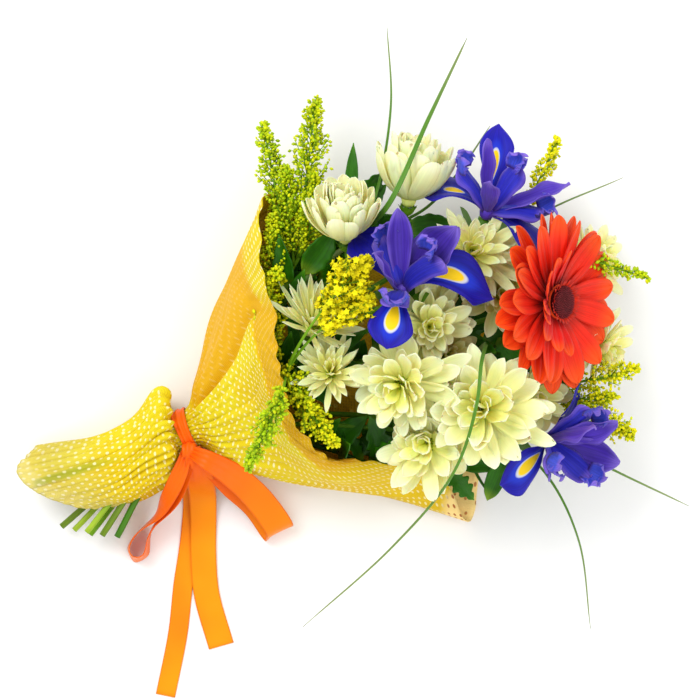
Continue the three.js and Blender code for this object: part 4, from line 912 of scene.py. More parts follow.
# Each layer of petals: how many, rise, curl, then length, half width and start as shares of the radius.
# stray: how far petals are off the even pattern, as azimuth, rise and curl in degrees, and size as a share.
# tips: how round, then how sharp they are.
creamForms = {
    "open": {
        "layers": [(13, -2, 16, 0.97, 0.175, 0.08), (12, 10, 24, 0.93, 0.175, 0.08),
                   (11, 24, 30, 0.8, 0.165, 0.07), (8, 42, 26, 0.66, 0.15, 0.06),
                   (6, 62, 18, 0.5, 0.13, 0.03)],
        "stray": (16, 12, 16, 0.2), "tips": (2.2, 0.62), "ripple": 0.16},
    "cup": {
        "layers": [(12, 20, 66, 1.44, 0.25, 0.1), (11, 36, 54, 1.44, 0.24, 0.09),
                   (10, 50, 40, 1.4, 0.22, 0.08), (9, 63, 28, 1.34, 0.2, 0.06),
                   (8, 76, 16, 1.22, 0.18, 0.04)],
        "stray": (9, 6, 8, 0.09), "tips": (3.2, 0.5), "ripple": 0.07},
    "narrow": {
        "layers": [(14, 18, 16, 0.95, 0.085, 0.08), (13, 31, 12, 0.94, 0.085, 0.07),
                   (12, 45, 10, 0.86, 0.08, 0.06), (10, 60, 8, 0.74, 0.07, 0.05),
                   (8, 76, 6, 0.6, 0.06, 0.03)],
        "stray": (9, 8, 8, 0.12), "tips": (1.7, 0.9), "ripple": 0.06},
    "spiky": {
        "layers": [(14, 0, 14, 1.0, 0.115, 0.08), (13, 14, 16, 0.98, 0.115, 0.07),
                   (12, 28, 18, 0.88, 0.11, 0.06), (9, 46, 20, 0.7, 0.1, 0.05),
                   (7, 64, 24, 0.5, 0.085, 0.04)],
        "stray": (10, 10, 12, 0.16), "tips": (1.8, 0.8), "ripple": 0.06},
    "sparse": {
        "layers": [(11, 6, 16, 0.92, 0.17, 0.08), (10, 22, 16, 0.84, 0.16, 0.07),
                   (8, 40, 14, 0.7, 0.14, 0.06), (6, 62, 20, 0.5, 0.11, 0.04)],
        "stray": (12, 9, 12, 0.14), "tips": (2.4, 0.6), "ripple": 0.06},
}


def flowerAt(at, facing, core):
    # a bloom's place, the ways it faces and lies, and the radius of its core
    return {"at": np.array(at, float), "axes": axesOf(facing), "core": core}


creamFlowers = {key: flowerAt(plan[1], plan[2], 0.17 * plan[3]) for key, plan in creamPlan.items()}


def layerTurn(count, depth):
    # the petals' even azimuths; each layer is half a step on from the one under it
    return 360 * (np.arange(count) + 0.5 * depth) / count, depth * 40 + np.arange(count)


def makeCream(number, material):
    # Layers of petals, each petal set off from the even pattern; on the longest side they grow by a sixth
    # and lie flatter, as cos(azimuth - side), so the bowl opens towards the other side.
    name, _, _, radius, oliveShade, longSide = creamPlan[number]
    form, flower = creamForms[name], creamFlowers[number]
    n, u, v = flower["axes"]
    strayTurn, strayRise, strayCurl, straySize = form["stray"]
    roundness, sharpness = form["tips"]
    core = flower["core"]
    chunks = [turnedForms(flower["at"] - n * core, n, 2 * core, core, roundProfile, 12, (0, 1, oliveShade))]
    for depth, (count, rise, curl, length, half, start) in enumerate(form["layers"]):
        even, index = layerTurn(count, depth)
        azimuth = even + 20 * number + strayTurn * vary(number, index)
        lopsided = name in ("open", "spiky")
        away = np.cos(np.radians(azimuth - longSide)) if lopsided else np.zeros(count)
        chunks.append(petalGrids(
            flower, 11, 9, together(vary(number + 11, index), depth / (len(form["layers"]) - 1), oliveShade),
            azimuth=azimuth,
            rise=rise + strayRise * vary(number + 20, index) - 5 * away,
            curl=curl + strayCurl * vary(number + 60, index),
            length=length * radius * ((1 + straySize * vary(number + 40, index)) * (1 + 0.17 * away)),
            half=half * radius * (1 + straySize * vary(number + 30, index)),
            start=start * radius,
            lift=depth * 0.05 * radius,
            cup=0.36 + 0.22 * vary(number + 70, index),
            ridge=0.045,
            tilt=strayTurn * vary(number + 80, index),
            twist=20 * vary(number + 90, index),
            drift=0.1 * vary(number + 95, index),
            ripple=form["ripple"],
            waves=1.6,
            peak=0.68,
            base=0.34,
            round=roundness,
            point=sharpness * (1 + 0.3 * vary(number + 15, index)),
            notch=0.035 if depth > 2 and name == "open" else 0.0))
    # a tuft of green-yellow florets in the middle
    k = np.arange(36)
    spread = core * 0.95 * np.sqrt(k / 36)
    out = around(np.radians(goldenAngle * k)[:, None], u, v)
    high = np.sqrt(np.maximum(core**2 - spread**2, 0))
    foot = flower["at"] + out * spread[:, None] + n * high[:, None] * 0.9
    tuft = turnedForms(foot, n + 0.5 * out, 0.13 * radius, 0.028 * radius, spindle, 5, (0, 1.6, oliveShade))
    replaced = [f"chrysanthemum_{number}"]
    return makePiece(f"creamBloom{number}", chunks + [tuft], material, replaced, 0.3)


def creamMaterial():
    # yellow-green throats that fade to cream; the inner layers are yellower, and shaded blooms olive
    skin = {"Subsurface Weight": 0.3, "Subsurface Scale": 0.006}
    material, tree, shader = newMaterial("creamPetal", 0.6, **skin)
    _, along, _, layer, oliveShade = surfaceShares(tree)
    root = blend(band(layer, 0.0, 0.8), tone(248, 245, 146), tone(240, 241, 84))
    body = blend(band(layer, 0.2, 1.1), tone(252, 247, 174), tone(251, 247, 132))
    # painted shade: olive over the body and the tips, by each bloom's own share
    body = wash(body, oliveShade, 0.75, (196, 180, 100))
    tip = wash(tone(253, 251, 204), oliveShade, 0.6, (222, 208, 140))
    colour, height = veinedNode(tree, root, body, tip, 0.42, 0.6, 0.05, 0.1)
    # small brown scorches on a few tips, and green-yellow florets
    scorched = band(noise(objectPlace(tree), 240.0, 1.0), 0.66, 0.72)
    colour = wash(colour, times(band(along, 0.86, 0.97), scorched), 0.7, (140, 110, 50))
    colour = blend(band(layer, 1.2, 1.5), colour, tone(150, 166, 20))
    finishWith(shader, colour, height, 0.25)
    return material


creamSkin = creamMaterial()
for number in creamPlan:
    makeCream(number, creamSkin)
print("cream blooms made")

gerberaPlan = {
    "radius": 54.0,
    "disc": 12.0,
    "plate": 10.5,
    "seat": 4.55,  # the disc's height over the bloom's middle
    # how many, rise, curl, then length, half width and start as shares of the radius, and lift
    "layers": [(20, -4, 10, 0.92, 0.162, 0.1, -1.8), (17, 5, 10, 0.86, 0.15, 0.1, 0.0),
               (9, 22, 14, 0.52, 0.1, 0.14, 1.6)],
    # the shortest petals stand on the viewer's side only: from this azimuth to that one
    "shortSide": (20, 178),
    "florets": 230,
    "spiral": 137.508,  # degrees from one floret to the next
    "rays": 44,
}
gerberaFlower = flowerAt([122, 40, 92], [0.76, -0.05, 0.65], 4.2)


def makeGerberaPetals(material):
    # a turned plate under three layers of long petals, each grooved along its length
    flower, radius = gerberaFlower, gerberaPlan["radius"]
    n = flower["axes"][0]
    plate, core = [(0, 0.45), (0.3, 0.75), (0.7, 0.95), (1, 1)], flower["core"]
    chunks = [turnedForms(flower["at"] - n * core, n, 2 * core, gerberaPlan["plate"], plate, 24)]
    for depth, (count, rise, curl, length, half, start, lift) in enumerate(gerberaPlan["layers"]):
        even, index = layerTurn(count, depth)
        if depth == 2:
            even = np.linspace(*gerberaPlan["shortSide"], count)
        chunks.append(petalGrids(
            flower, 16, 13, together(vary(39, index), depth / 2, 0),
            azimuth=even + 4 * vary(31, index),
            rise=rise + 6 * vary(32, index),
            curl=curl + 9 * vary(34, index),
            length=length * radius * (1 + 0.05 * vary(33, index)),
            half=half * radius * (1 + 0.08 * vary(35, index)),
            start=start * radius,
            lift=lift,
            cup=0.24,
            ridge=0.07,
            tilt=9 + 7 * vary(36, index),
            twist=16 * vary(37, index),
            drift=0.04 * vary(38, index),
            notch=0.03,
            peak=0.62,
            base=0.3,
            round=2.6,
            point=0.62))
    return makePiece("gerberaPetals", chunks, material, ["gerbera_petals"], 0.5)


def makeGerberaCentre(material):
    # a low dome, a spiral of closed florets over it, and a fringe of short open ones round its edge
    flower, disc = gerberaFlower, gerberaPlan["disc"]
    n, u, v = flower["axes"]
    seat = flower["at"] + n * gerberaPlan["seat"]
    domeProfile = [(0, 0.8), (0.5, 0.84), (0.85, 0.6), (1, 0.2)]
    dome = turnedForms(seat, n, 0.34 * disc, disc, domeProfile, 32, (0, 0.2, 0))
    k = np.arange(gerberaPlan["florets"])
    far = 0.8 * disc * np.sqrt((k + 0.5) / len(k))
    out = around(np.radians(gerberaPlan["spiral"] * k)[:, None], u, v)
    high = 0.3 * disc * (1 - (far / disc) ** 2) - 0.3 + 0.9 * ease(far, 0.45 * disc, 0.7 * disc)
    foot = seat + out * far[:, None] + n * high[:, None]
    look = together(vary(5, k), far / disc, 0)
    florets = turnedForms(foot, n + 0.45 * out * (far / disc)[:, None], 1.9, 0.46, spindle, 5, look)
    k = np.arange(gerberaPlan["rays"])
    rays = petalGrids(
        flower, 7, 3, together(vary(9, k), 1.3, 0), azimuth=360 * k / len(k) + 3 * vary(6, k),
        rise=58 + 10 * vary(7, k), curl=-28, length=6.2 + 0.9 * vary(8, k), half=0.85, start=0.72 * disc,
        lift=5.2, cup=0.3, peak=0.5, base=0.6)
    return makePiece("gerberaCentre", [dome, florets, rays], material, ["gerbera_disc"], 0.25)


def gerberaCentreMaterial():
    # maroon florets, redder outwards and paler at their tips; the fringe is red
    material, tree, shader = newMaterial("maroonFlorets", 0.7)
    _, along, _, spread, _ = surfaceShares(tree)
    body = blend(band(spread, 0.3, 0.75), tone(66, 14, 30), tone(104, 26, 40))
    body = blend(band(spread, 1.0, 1.2), body, tone(214, 44, 20))
    body = wash(body, band(along, 0.6, 1.0), 0.45, (176, 70, 66))
    colour, height = veinedNode(tree, body, body, body, change=0.5)
    finishWith(shader, colour, height, 0.2)
    return material


def gerberaMaterial():
    # orange-red petals, dark red at the root, and orange towards the tip
    material, tree, shader = newMaterial("orangeRedPetal", 0.55, **{"Sheen Weight": 0.05})
    layer = surfaceShares(tree)[3]
    body = blend(layer, tone(250, 52, 0), tone(230, 22, 0))
    colour, height = veinedNode(tree, tone(120, 2, 2), body, tone(252, 82, 0), 0.5, 0.6, 0.16, 0.14)
    finishWith(shader, colour, height, 0.35)
    return material


makeGerberaPetals(gerberaMaterial())
makeGerberaCentre(gerberaCentreMaterial())
print("gerbera made")

# each fall: azimuth, rise, curl, drift, twist, length and width as shares, size of its signal, and how far
# its arm is turned away; each standard: azimuth, rise, curl, drift, length and width as shares
irisPlan = {
    1: {"at": [29, 46, 101], "facing": [0.02, 0.58, 0.81],
        "falls": [(78, 38, -100, 0.0, -10, 0.84, 0.84, 1.3, 0), (212, 57, -114, -0.62, 50, 1.0, 1.0, 1.2, 0),
                  (308, 36, -60, 0.0, -10, 0.95, 0.9, 0.01, -10)],
        "standards": [(278, 48, 24, 0.0, 1.0, 0.75), (225, 34, 30, -0.15, 1.0, 1.3),
                      (20, 62, 14, 0.0, 0.9, 0.7)]},
    2: {"at": [82, 95, 75], "facing": [0.22, 0.76, 0.61],
        "falls": [(280, 54, -26, 0.0, 0, 1.1, 0.66, 1.0, -55), (352, 46, -110, 0.0, 0, 0.88, 0.88, 0.8, 0),
                  (165, 12, -80, 0.0, 0, 0.95, 0.95, 0.01, 20)],
        "standards": [(320, 66, 10, 0.0, 0.9, 0.55), (200, 22, 16, 0.0, 1.0, 0.8),
                      (74, 60, 14, 0.0, 0.65, 0.6)]},
    3: {"at": [118, -45, 70], "facing": [0.7, -0.2, 0.68],
        "falls": [(125, 44, -100, 0.3, 0, 0.86, 0.86, 1.3, 0), (262, 40, -60, 0.0, 0, 0.9, 0.9, 0.01, -28),
                  (345, 36, -60, 0.0, 40, 0.8, 0.8, 0.01, 0)],
        "standards": [(315, 44, 16, 0.04, 0.86, 0.9), (268, 38, 20, 0.0, 0.9, 1.0),
                      (38, 60, 14, 0.0, 0.9, 0.8)]},
}
# the petals' forms, whose length and half width, in mm, are taken times the shares above
irisParts = {
    "fall": {"length": 51, "half": 16.5, "start": 2, "lift": 0.5, "cup": 0.14, "ridge": 0.025, "peak": 0.72,
             "base": 0.24, "flare": 3.4, "round": 1.5, "point": 0.85, "ripple": 0.13, "waves": 2.2},
    "standard": {"length": 53, "half": 10.5, "start": 1.5, "cup": 0.5, "ridge": 0.03, "peak": 0.66,
                 "base": 0.26, "flare": 1.3, "round": 2.0, "point": 0.75, "ripple": 0.24, "waves": 2.6},
    "arm": {"length": 34, "half": 8.5, "start": 1, "lift": 2, "cup": -0.3, "ridge": 0.04, "peak": 0.75,
            "base": 0.45, "round": 4, "point": 0.5, "ripple": 0.2},
    "crest": {"curl": 36, "length": 12.5, "half": 6.5, "cup": 0.35, "peak": 0.6, "base": 0.7,
              "ripple": 0.5, "waves": 3, "round": 3, "point": 0.4},
}
crestFrom = 31  # how far along an arm its crests stand
irisFlowers = {key: flowerAt(plan["at"], plan["facing"], 4.5) for key, plan in irisPlan.items()}


def irisPetals(part, long=1.0, wide=1.0, **own):
    # one kind of petal, at its own length and width
    usual = irisParts[part]
    return {**usual, "length": usual["length"] * long, "half": usual["half"] * wide, **own}


def makeIris(number, material):
    # Three falls that arch out on a narrow claw and open into a broad pointed blade, three standards
    # between them, a style arm over each fall, and two frilled crests at the end of each arm.
    flower = irisFlowers[number]
    n, core, seed = flower["axes"][0], flower["core"], 50 + number
    falls, standards = (np.array(irisPlan[number][key], float).T for key in ("falls", "standards"))
    azimuth, rise, curl, drift, twist, long, wide, signal, armTurn = falls
    fall = irisPetals("fall", long, wide, azimuth=azimuth, rise=rise, curl=curl, drift=drift, twist=twist)
    azimuth = azimuth + armTurn
    arm = irisPetals("arm", azimuth=azimuth, rise=rise + 16, curl=curl * 0.35, drift=0.5 * drift)
    climb = np.radians(rise + 16 + 0.17 * curl)
    twice = lambda values: np.repeat(values, 2)
    crest = irisPetals("crest", azimuth=twice(azimuth) + np.tile([-10, 10], 3), rise=twice(rise) + 14,
                       start=twice(crestFrom * np.cos(climb)), lift=twice(crestFrom * np.sin(climb)) + 1,
                       tilt=np.tile([-30, 30], 3))
    azimuth, rise, curl, drift, long, wide = standards
    standard = irisPetals("standard", long, wide, azimuth=azimuth, rise=rise, curl=curl, drift=drift,
                          twist=18 * vary(seed + 2, np.arange(3)))
    chunks = [turnedForms(flower["at"] - n * core, n, 2 * core, core, roundProfile, 12, (0, 1, 0))]
    for part, (petal, rows) in enumerate(((fall, 32), (standard, 26), (arm, 18), (crest, 12))):
        chance = vary(seed + 3, np.arange(len(petal["azimuth"])))
        look = together(chance, part, signal if part == 0 else 1.0)
        chunks.append(petalGrids(flower, rows, 15, look, **petal))
    return makePiece(f"irisBloom{number}", chunks, material, [f"iris_{number}"], 0.5)


def irisMaterial():
    # deep blue falls with a narrow yellow signal edged in white, violet standards, paler arms and crests
    material, tree, shader = newMaterial("blueVioletPetal", 0.5, **{"Sheen Weight": 0.08})
    across, along, _, part, signal = surfaceShares(tree)
    body = blend(band(part, 0.2, 0.8), tone(20, 18, 168), tone(80, 52, 180))
    body = blend(band(part, 1.2, 1.8), body, tone(46, 46, 186))
    body = blend(band(part, 2.2, 2.8), body, tone(70, 84, 216))
    edge = blend(band(part, 0.2, 0.8), tone(40, 26, 170), tone(122, 96, 206))
    rimmed = times(band(sums("ABSOLUTE", across), 0.6, 1.0), 0.6)
    body = blend(rimmed, body, edge)
    colour, height = veinedNode(tree, tone(70, 44, 130), body, edge, 0.25, 0.8, 0.28, 0.25)
    # the signal is an oval about half way along: a blue glow, then a white rim, then yellow
    lengthwise = sums("DIVIDE", sums("SUBTRACT", along, 0.52), 0.17)
    away = farOff(lengthwise, sums("DIVIDE", across, 0.28))
    away = sums("DIVIDE", away, signal)
    onFall = band(part, 0.5, 0.1)
    colour = wash(colour, band(away, 2.0, 1.2), times(onFall, 0.55), (30, 66, 226))
    colour = wash(colour, band(away, 1.18, 1.02), onFall, (206, 212, 226))
    colour = wash(colour, band(away, 1.0, 0.86), onFall, (255, 212, 8))
    finishWith(shader, colour, height, 0.35)
    return material


irisSkin = irisMaterial()
for number in irisPlan:
    makeIris(number, irisSkin)
print("irises made")

# stem: the blooms that it forks to
sprayPlan = {1: [1, 2], 2: [3, 4], 3: [5, 6, 10], 4: [7, 8, 11], 5: [9, 12, 13, 14]}


def pedicelParts(flower, fork):
    # a curved stalk from the fork to the bloom, and its calyx
    n, deep = flower["axes"][0], stemPlan["calyxDeep"]
    top = flower["at"] - n * (flower["core"] + 0.35 + 0.8 * deep)
    below = flower["at"] - n * (flower["core"] + 16)
    line = curveAt([fork, below, top], np.linspace(0, 1, 16))
    stalk = tube(line, np.linspace(*stemPlan["pedicel"], 16))
    return [stalk] + calyxParts(flower, stemPlan["calyxWide"], deep)


stemTones = (166, 196, 50), (92, 142, 22), (78, 124, 24)
stemSkin = veinedMaterial("freshStem", 0.5, *stemTones, 0.3, rootEnd=0.1, change=0.35)


def makeStem(name, node, chunks):
    # one stem's piece
    return makePiece(name, chunks, stemSkin, [node])


for number, heads in sprayPlan.items():
    node = f"chrysanthemum_stem_{number}"
    chunks = [stemTube(node, 1.5)]
    for head in heads:
        chunks += pedicelParts(creamFlowers[head], stemLines[node][-1])
    makeStem(f"creamStem{number}", node, chunks)
makeStem("gerberaStem", "gerbera_stem", [stemTube("gerbera_stem", 1.6)] + calyxParts(gerberaFlower, 8, 9, 16))
for number, flower in irisFlowers.items():
    node = f"iris_stem_{number}"
    makeStem(f"irisStem{number}", node, [stemTube(node, 1.6)] + calyxParts(flower, 4.2, 26, 2))
print("stems made")

# each plume: where it leaves, what it bends over, its tip, how far it spreads, its branchlets, how yellow it
# is, and how much of it is bare of buds
goldenrodPlan = {
    1: [([-34, 66, 56], None, [-24, 164, 52], 15, 66, 0.3, 0.2),
        ([-40, 60, 55], None, [-56, 150, 48], 13, 54, 0.25, 0.2),
        ([-36, 62, 55], None, [-42, 122, 62], 13, 44, 0.25, 0.1),
        ([-46, 46, 53], [-52, 60, 74], [-50, 92, 70], 12, 34, 0.35, 0.1),
        ([-30, 66, 56], [-24, 84, 74], [-24, 118, 66], 11, 32, 0.3, 0.1),
        ([-50, 36, 51], [-54, 44, 80], [-46, 58, 92], 11, 28, 0.4, 0.1)],
    2: [([-42, -5, 84], [-30, 26, 138], [6, 62, 112], 16, 30, 1.0, 0.55),
        ([-46, -8, 78], None, [-54, 48, 84], 12, 34, 0.45, 0.2),
        ([-46, -8, 78], [-30, -22, 98], [-12, -46, 90], 12, 40, 0.6, 0.2),
        ([-42, -5, 84], [-38, -12, 160], [-64, -60, 100], 10, 44, 0.1, 0.3),
        ([-42, -5, 84], [-28, 22, 122], [6, 40, 116], 14, 22, 1.0, 0.55),
        ([-46, -8, 78], [-40, 4, 92], [-26, -26, 98], 10, 30, 0.45, 0.1)],
    3: [([122, -14, 46], None, [171, -42, 60], 14, 36, 0.7, 0.2),
        ([126, -10, 46], None, [174, -2, 62], 11, 26, 0.6, 0.2),
        ([116, -14, 47], [140, -24, 60], [160, -18, 64], 11, 24, 0.55, 0.1)],
    4: [([100, 82, 48], None, [126, 140, 60], 7, 20, 0.7, 0.35),
        ([106, 82, 46], None, [180, 55, 72], 7, 22, 0.2, 0.4)],
}


# a floret's length, how much it varies, its radius as a share of its length, and its profile, sides and star
starFlorets = (2.9, 0.7, 0.82, starProfile, 10, 0.55)
roundBuds = (2.5, 0.6, 0.36, spindle, 4, 1.0)
budsPerBranch = 15
bareFrom = 3  # the first places on each branchlet stay bare


def beside(n):
    # a way across each twig, and the way across both
    x = unit(np.cross(n, [0.2, 0.9, 0.3]))
    return x, np.cross(n, x)


def plumeParts(line, plume, seed):
    # The rachis is a quadratic curve. Branchlets leave it every 137.5 degrees, shorter towards the tip,
    # each bent over as x + x²; round buds crowd along the outer three quarters of each, and where the
    # plume is fully yellow they are open five-pointed stars.
    start, over, tip, spread, count, yellow, bare = plume
    tip = np.array(tip, float)
    start = rootOn(line, np.array(start, float))
    if over is None:
        over = (start + tip) / 2 + [0, 0, 0.12 * np.linalg.norm(tip - start)]
    over = np.array(over, float)
    rachis, _ = bezierAt(start, over, tip, np.linspace(0, 1, 20))
    k = np.arange(count)
    t = bare + (1 - bare) * k / (count - 1)
    at, slope = bezierAt(start, over, tip, t)
    n = unit(slope)
    u = unit(np.cross(n, formSide))
    out = around(np.radians(goldenAngle * k + 40 * vary(seed, k))[:, None], u, np.cross(n, u))
    taper = np.minimum(1, (1.06 - t) / (1 - bare) * 1.5) ** 0.8 * np.minimum(1, 0.55 + 3 * (t - bare))
    length = spread * taper * (1 + 0.28 * vary(seed + 5, k))
    toward = unit(out * np.where(k == count - 1, 0.2, 0.75)[:, None] + n * 0.75)
    buds = budsPerBranch
    far = np.linspace(0, 1, buds)[None, :, None]
    branches = at[:, None] + (toward[:, None] * far + n[:, None] * 0.25 * far**2) * length[:, None, None]
    # a branchlet is three thin rings of three points
    corners = np.array([0, tau / 3, 2 * tau / 3])[None, :, None]
    x, y = beside(toward)
    thin = np.array([0.45, 0.36, 0.24])[None, :, None, None]
    rings = branches[:, :: (buds - 1) // 2, None] + thin * around(corners, x[:, None], y[:, None])[:, None]
    chunks = [tube(rachis, np.linspace(1.1, 0.5, 20), 6), chunkOf(rings, True, look=(0, 0, yellow))]
    index = (k[:, None] * buds + np.arange(bareFrom, buds)[None]).ravel()
    turn = np.radians(360 * (vary(seed + 9, index) + vary(seed + 2, index * 3)))[:, None]
    direction = np.repeat(toward, buds - bareFrom, 0)
    aim = unit(direction * 0.6 + around(turn, *beside(direction)))
    foot = branches[:, bareFrom:].reshape(-1, 3) + aim * (0.3 + 0.9 * np.abs(vary(seed + 6, index)))[:, None]
    look = together(vary(seed + 7, index), 1, np.clip(yellow + 0.3 * vary(seed + 4, index), 0, 1))
    usual, varied, share, profile, sides, star = starFlorets if yellow == 1.0 else roundBuds
    size = usual + varied * vary(seed + 8, index)
    return chunks + [turnedForms(foot, aim, size, share * size, profile, sides, look, star)]


def goldenrodMaterial():
    # green branchlets; buds from green to bright yellow by their own number
    material, tree, shader = newMaterial("goldenrodPlume", 0.65)
    _, along, _, kind, yellow = surfaceShares(tree)
    bud = blend(yellow, tone(172, 208, 14), tone(255, 238, 0))
    bud = wash(bud, band(along, 0.4, 0.0), 0.6, (118, 162, 16))
    body = blend(kind, tone(112, 160, 22), bud)
    colour, height = veinedNode(tree, body, body, body, veins=0.1, change=0.4)
    finishWith(shader, colour, height, 0.2)
    return material


goldenrodSkin = goldenrodMaterial()
for number, plumes in goldenrodPlan.items():
    name = f"goldenrod_{number}"
    chunks = [stemTube(name, 1.1)]
    for i, plume in enumerate(plumes):
        chunks += plumeParts(stemLines[name], plume, 3 * (70 + number) + i)
    makePiece(f"goldenrodSpray{number}", chunks, goldenrodSkin, [name])
print("goldenrod made")

# each leaf: where it leaves, its tip, half its width, roll in degrees, and how deeply its edge is lobed
leafPlan = {
    1: [([-2, 98, 55], [0, 139, 62], 4.2, 18, 0.0), ([-31, 57, 74], [-11, 84, 80], 9, -14, 0.1),
        ([-12, 70, 46], [24, 88, 50], 6, 0, 0.0), ([-30, 48, 43], [-48, 86, 46], 7, 0, 0.1),
        ([-36, 41, 42], [-8, 36, 66], 7, 0, 0.0), ([4, 60, 62], [26, 88, 72], 8, 8, 0.1),
        ([16, 62, 60], [46, 82, 68], 7, -10, 0.0), ([-40, 46, 66], [-46, 82, 74], 6.5, 12, 0.1),
        ([-38, 34, 64], [-30, 60, 82], 6, 16, 0.0), ([4, 84, 44], [38, 92, 42], 8, 0, 0.1),
        ([30, 86, 42], [66, 90, 40], 8, 10, 0.1)],
    2: [([-20, 10, 64], [8, 22, 72], 7, 10, 0.0), ([-28, 4, 63], [-40, 34, 74], 6, -15, 0.0),
        ([-34, 0, 62], [-14, -24, 74], 6, 10, 0.1), ([-44, -4, 60], [-38, 22, 88], 5, 0, 0.0),
        ([-40, -2, 61], [-34, -28, 84], 6, 0, 0.0), ([-24, 7, 64], [6, -2, 78], 6, 0, 0.1)],
    3: [([84, -84, 40], [95, -55, 50], 6.2, 14, 0.0), ([58, -64, 40], [76, -84, 36], 7.5, 10, 0.5),
        ([-10, -54, 36], [-2, -47, 84], 9, 20, 0.4), ([10, -60, 35], [34, -46, 74], 8, 0, 0.4),
        ([20, -63, 34], [10, -30, 66], 9, 0, 0.4), ([62, -62, 34], [104, -58, 52], 6, 0, 0.0)],
    4: [([112, 10, 52], [140, -14, 74], 7, 0, 0.3), ([90, 18, 51], [104, 0, 84], 7, 0, 0.3),
        ([70, 24, 50], [66, 48, 82], 7, 0, 0.3), ([60, 23, 50], [76, -4, 74], 6, 0, 0.0),
        ([100, 14, 51], [134, 40, 52], 7, 0, 0.0), ([30, 21, 49], [20, 0, 70], 8, 0, 0.3),
        ([40, 22, 49], [30, 60, 64], 7, 0, 0.0), ([62, 24, 42], [96, 38, 46], 8, 0, 0.2),
        ([50, 20, 42], [84, 16, 48], 7, 0, 0.0)],
}


def leafGrids(start, tip, half, roll, lobed, seed, rows=27, cols=9):
    # A leaf arches over a quadratic curve. Its half width is 1 - (1 - s/0.48)^2.4 up to its widest place
    # and 1 - ((s - 0.48)/0.52)^1.7 from there to the tip. The margin is cut by lobed·(1 - |sin(5πs)|),
    # the edges stand up by |t|^1.3, and side veins sink between the ribs.
    start, tip, half, roll, lobed = (np.asarray(part, float) for part in (start, tip, half, roll, lobed))
    count, widest = len(start), 0.48
    k = np.arange(count)
    s = np.linspace(0, 1, rows)
    middle = (start + tip) / 2 + np.array([0, 0, 4.0])
    share = np.broadcast_to(s, (count, rows))
    at, slope = bezierAt(start[:, None], middle[:, None], tip[:, None], share)
    side = unit(np.cross(tip - start, [0, 0, 1]))[:, None]
    tangent = unit(slope)
    side = unit(side - (side * tangent).sum(-1, keepdims=True) * tangent)
    level = np.cross(side, tangent)
    turn = np.radians(roll)[:, None, None] + 0.35 * vary(seed, k)[:, None, None] * s[None, :, None]
    across = around(turn, side, level)
    normal = level * np.cos(turn) - side * np.sin(turn)
    outline = 1 - np.maximum(1 - s / widest, 0) ** 2.4 - np.maximum((s - widest) / (1 - widest), 0) ** 1.7
    lobes = lobed[:, None] * (1 - np.abs(np.sin(5 * np.pi * s)))[None] * ease(s, 0.1, 0.3)
    wide = (half[:, None] * (np.maximum(outline, 0.05)[None] * (1 - lobes)))[..., None]
    t = np.linspace(-1, 1, cols)[None, None]
    s = s[None, :, None]
    veins = 0.04 * np.cos(tau * 5 * (s - 0.12 * np.abs(t))) * np.abs(t)
    phase = 5 * vary(seed + 1, k)[:, None, None]
    wave = 0.12 * np.sin(tau * 1.7 * s + 2 * np.sign(t) + phase) * np.abs(t) ** 2
    high = wide * (0.28 * np.abs(t) ** 1.3 + veins + wave)
    points = at[:, :, None] + across[:, :, None] * (wide * t)[..., None]
    points = points + normal[:, :, None] * high[..., None]
    return chunkOf(points, look=together(vary(seed + 2, k), 0, 0))


def fillingLeaves(name, count, seed):
    # More leaves along a stem past the tie: they leave it every 137.5 degrees, lean forwards, and their
    # tips are drawn in towards the bouquet's middle line where they would meet the wrap or the table.
    k = np.arange(count)
    t = 0.5 + 0.5 * (k + 0.5) / count
    line, ahead, behind = (curveAt(stemLines[name], at) for at in (t, np.minimum(t + 0.02, 1), t - 0.02))
    run = unit(ahead - behind)
    x = unit(np.cross(run, bundleSide))
    out = around(np.radians(goldenAngle * k + 50 * vary(seed, k))[:, None], x, np.cross(run, x))
    tip = line + unit(0.75 * run + out + [0, 0, 0.25]) * (30 + 7 * vary(seed + 1, k))[:, None]
    heads = unit(tie["heads"])
    far = ((tip - tie["centre"]) * heads).sum(1)[:, None]
    axis = tie["centre"] + heads * far
    room = 8 + 0.42 * far
    tip = axis + (tip - axis) * np.minimum(1, room / np.linalg.norm(tip - axis, axis=1, keepdims=True))
    tip[:, 2] = np.maximum(tip[:, 2], 9)
    lobed = 0.2 + 0.2 * vary(seed + 4, k)
    return leafGrids(line, tip, 7 + 2 * vary(seed + 2, k), 30 * vary(seed + 3, k), lobed, seed + 5)


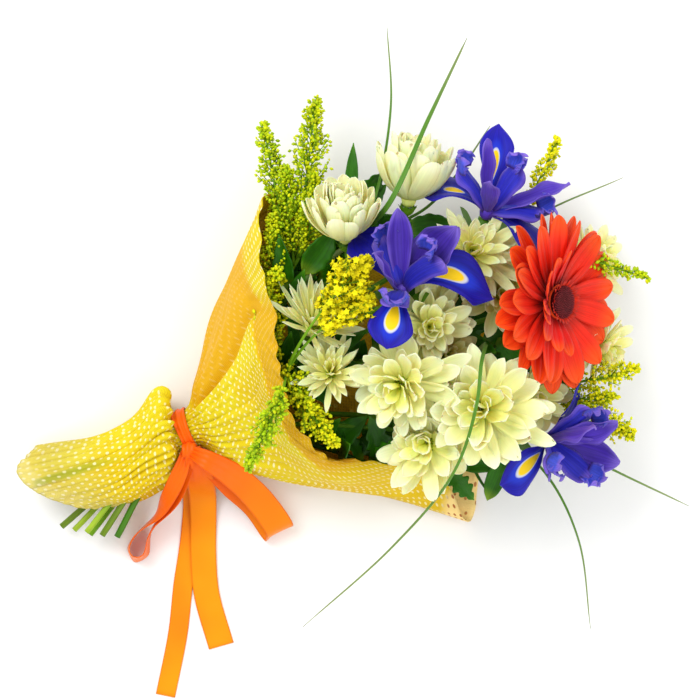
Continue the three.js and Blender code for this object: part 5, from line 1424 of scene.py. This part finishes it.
fillCount = 22  # more leaves on each leafy stem
leafTones = (120, 152, 34), (46, 104, 12), (74, 134, 20)
leafSkin = veinedMaterial("darkLeaf", 0.42, *leafTones, 0.4, rootEnd=0.3, veins=0.25, change=0.6)
for number, leaves in leafPlan.items():
    name = f"foliage_{number}"
    start, tip, half, roll, lobed = zip(*leaves)
    chunks = [stemTube(name, 1.0)]
    for at, end in zip(np.array(start, float), np.array(tip, float)):
        root = rootOn(stemLines[name], at)
        stalk, _ = bezierAt(root, (root + at) / 2 + [0, 0, 2], at + 0.15 * (end - at), np.linspace(0, 1, 8))
        chunks.append(tube(stalk, np.linspace(0.9, 0.6, 8), 6))
    chunks.append(leafGrids(start, tip, half, roll, lobed, 90 + number))
    chunks.append(fillingLeaves(name, fillCount, 110 + 7 * number))
    makePiece(f"leafyStem{number}", chunks, leafSkin, [name], 0.4)
print("leaves made")

# each blade: its points, then half its width
grassPlan = {
    1: [([[4, 80, 66], [22, 100, 104], [46, 152, 96], [70, 203, 70]], 1.7),
        ([[2, 78, 66], [13, 104, 62], [23, 160, 66], [21, 212, 52]], 0.9),
        ([[0, 76, 66], [44, 98, 60], [66, 122, 62], [85, 150, 58]], 0.9)],
    2: [([[82, 14, 62], [80, 13, 98], [76, 2, 126], [73, -22, 131], [61, -62, 108], [24, -112, 58],
          [-32, -165, 26]], 1.15),
        ([[60, -2, 46], [80, -28, 28], [122, -68, 28], [143, -110, 22], [152, -168, 8]], 0.9),
        ([[60, -2, 46], [86, -22, 28], [150, -58, 32], [214, -89, 16]], 1.1),
        ([[60, -2, 46], [80, 60, 44], [112, 92, 62], [168, 118, 54]], 0.9)],
}


def grassBlade(line, points, half, rows=70):
    # a long blade whose half width falls as 1 - 0.75·t², folded to a low V, with its edges up by |w|/2
    points = np.array(points, float)
    points[0] = rootOn(line, points[0])
    t = np.linspace(0, 1, rows)
    middle = curveAt(points, t)
    run = unit(np.gradient(middle, axis=0))
    side = unit(np.cross(run, [0, 0, 1]))
    normal = np.cross(side, run)
    wide = half * np.maximum(1 - 0.75 * t**2, 0.1) * (1 - 0.7 * ease(t, 0.94, 1))
    w = np.linspace(-1, 1, 5)[None]
    grid = middle[:, None] + side[:, None] * (wide[:, None] * w)[..., None]
    grid = grid + normal[:, None] * (0.5 * wide[:, None] * np.abs(w))[..., None]
    return chunkOf(grid[None], look=(vary(half, 3), 0, 0))


grassTones = (70, 122, 24), (88, 138, 44), (140, 158, 96)
grassSkin = veinedMaterial("bearGrass", 0.4, *grassTones, 0.3, rootEnd=0.3, tipStart=0.6, change=0.2)
for number, blades in grassPlan.items():
    name = f"bear_grass_{number}"
    chunks = [stemTube(name, 1.5)] + [grassBlade(stemLines[name], points, half) for points, half in blades]
    makePiece(f"grassBunch{number}", chunks, grassSkin, [name], 0.5)
print("grass made")
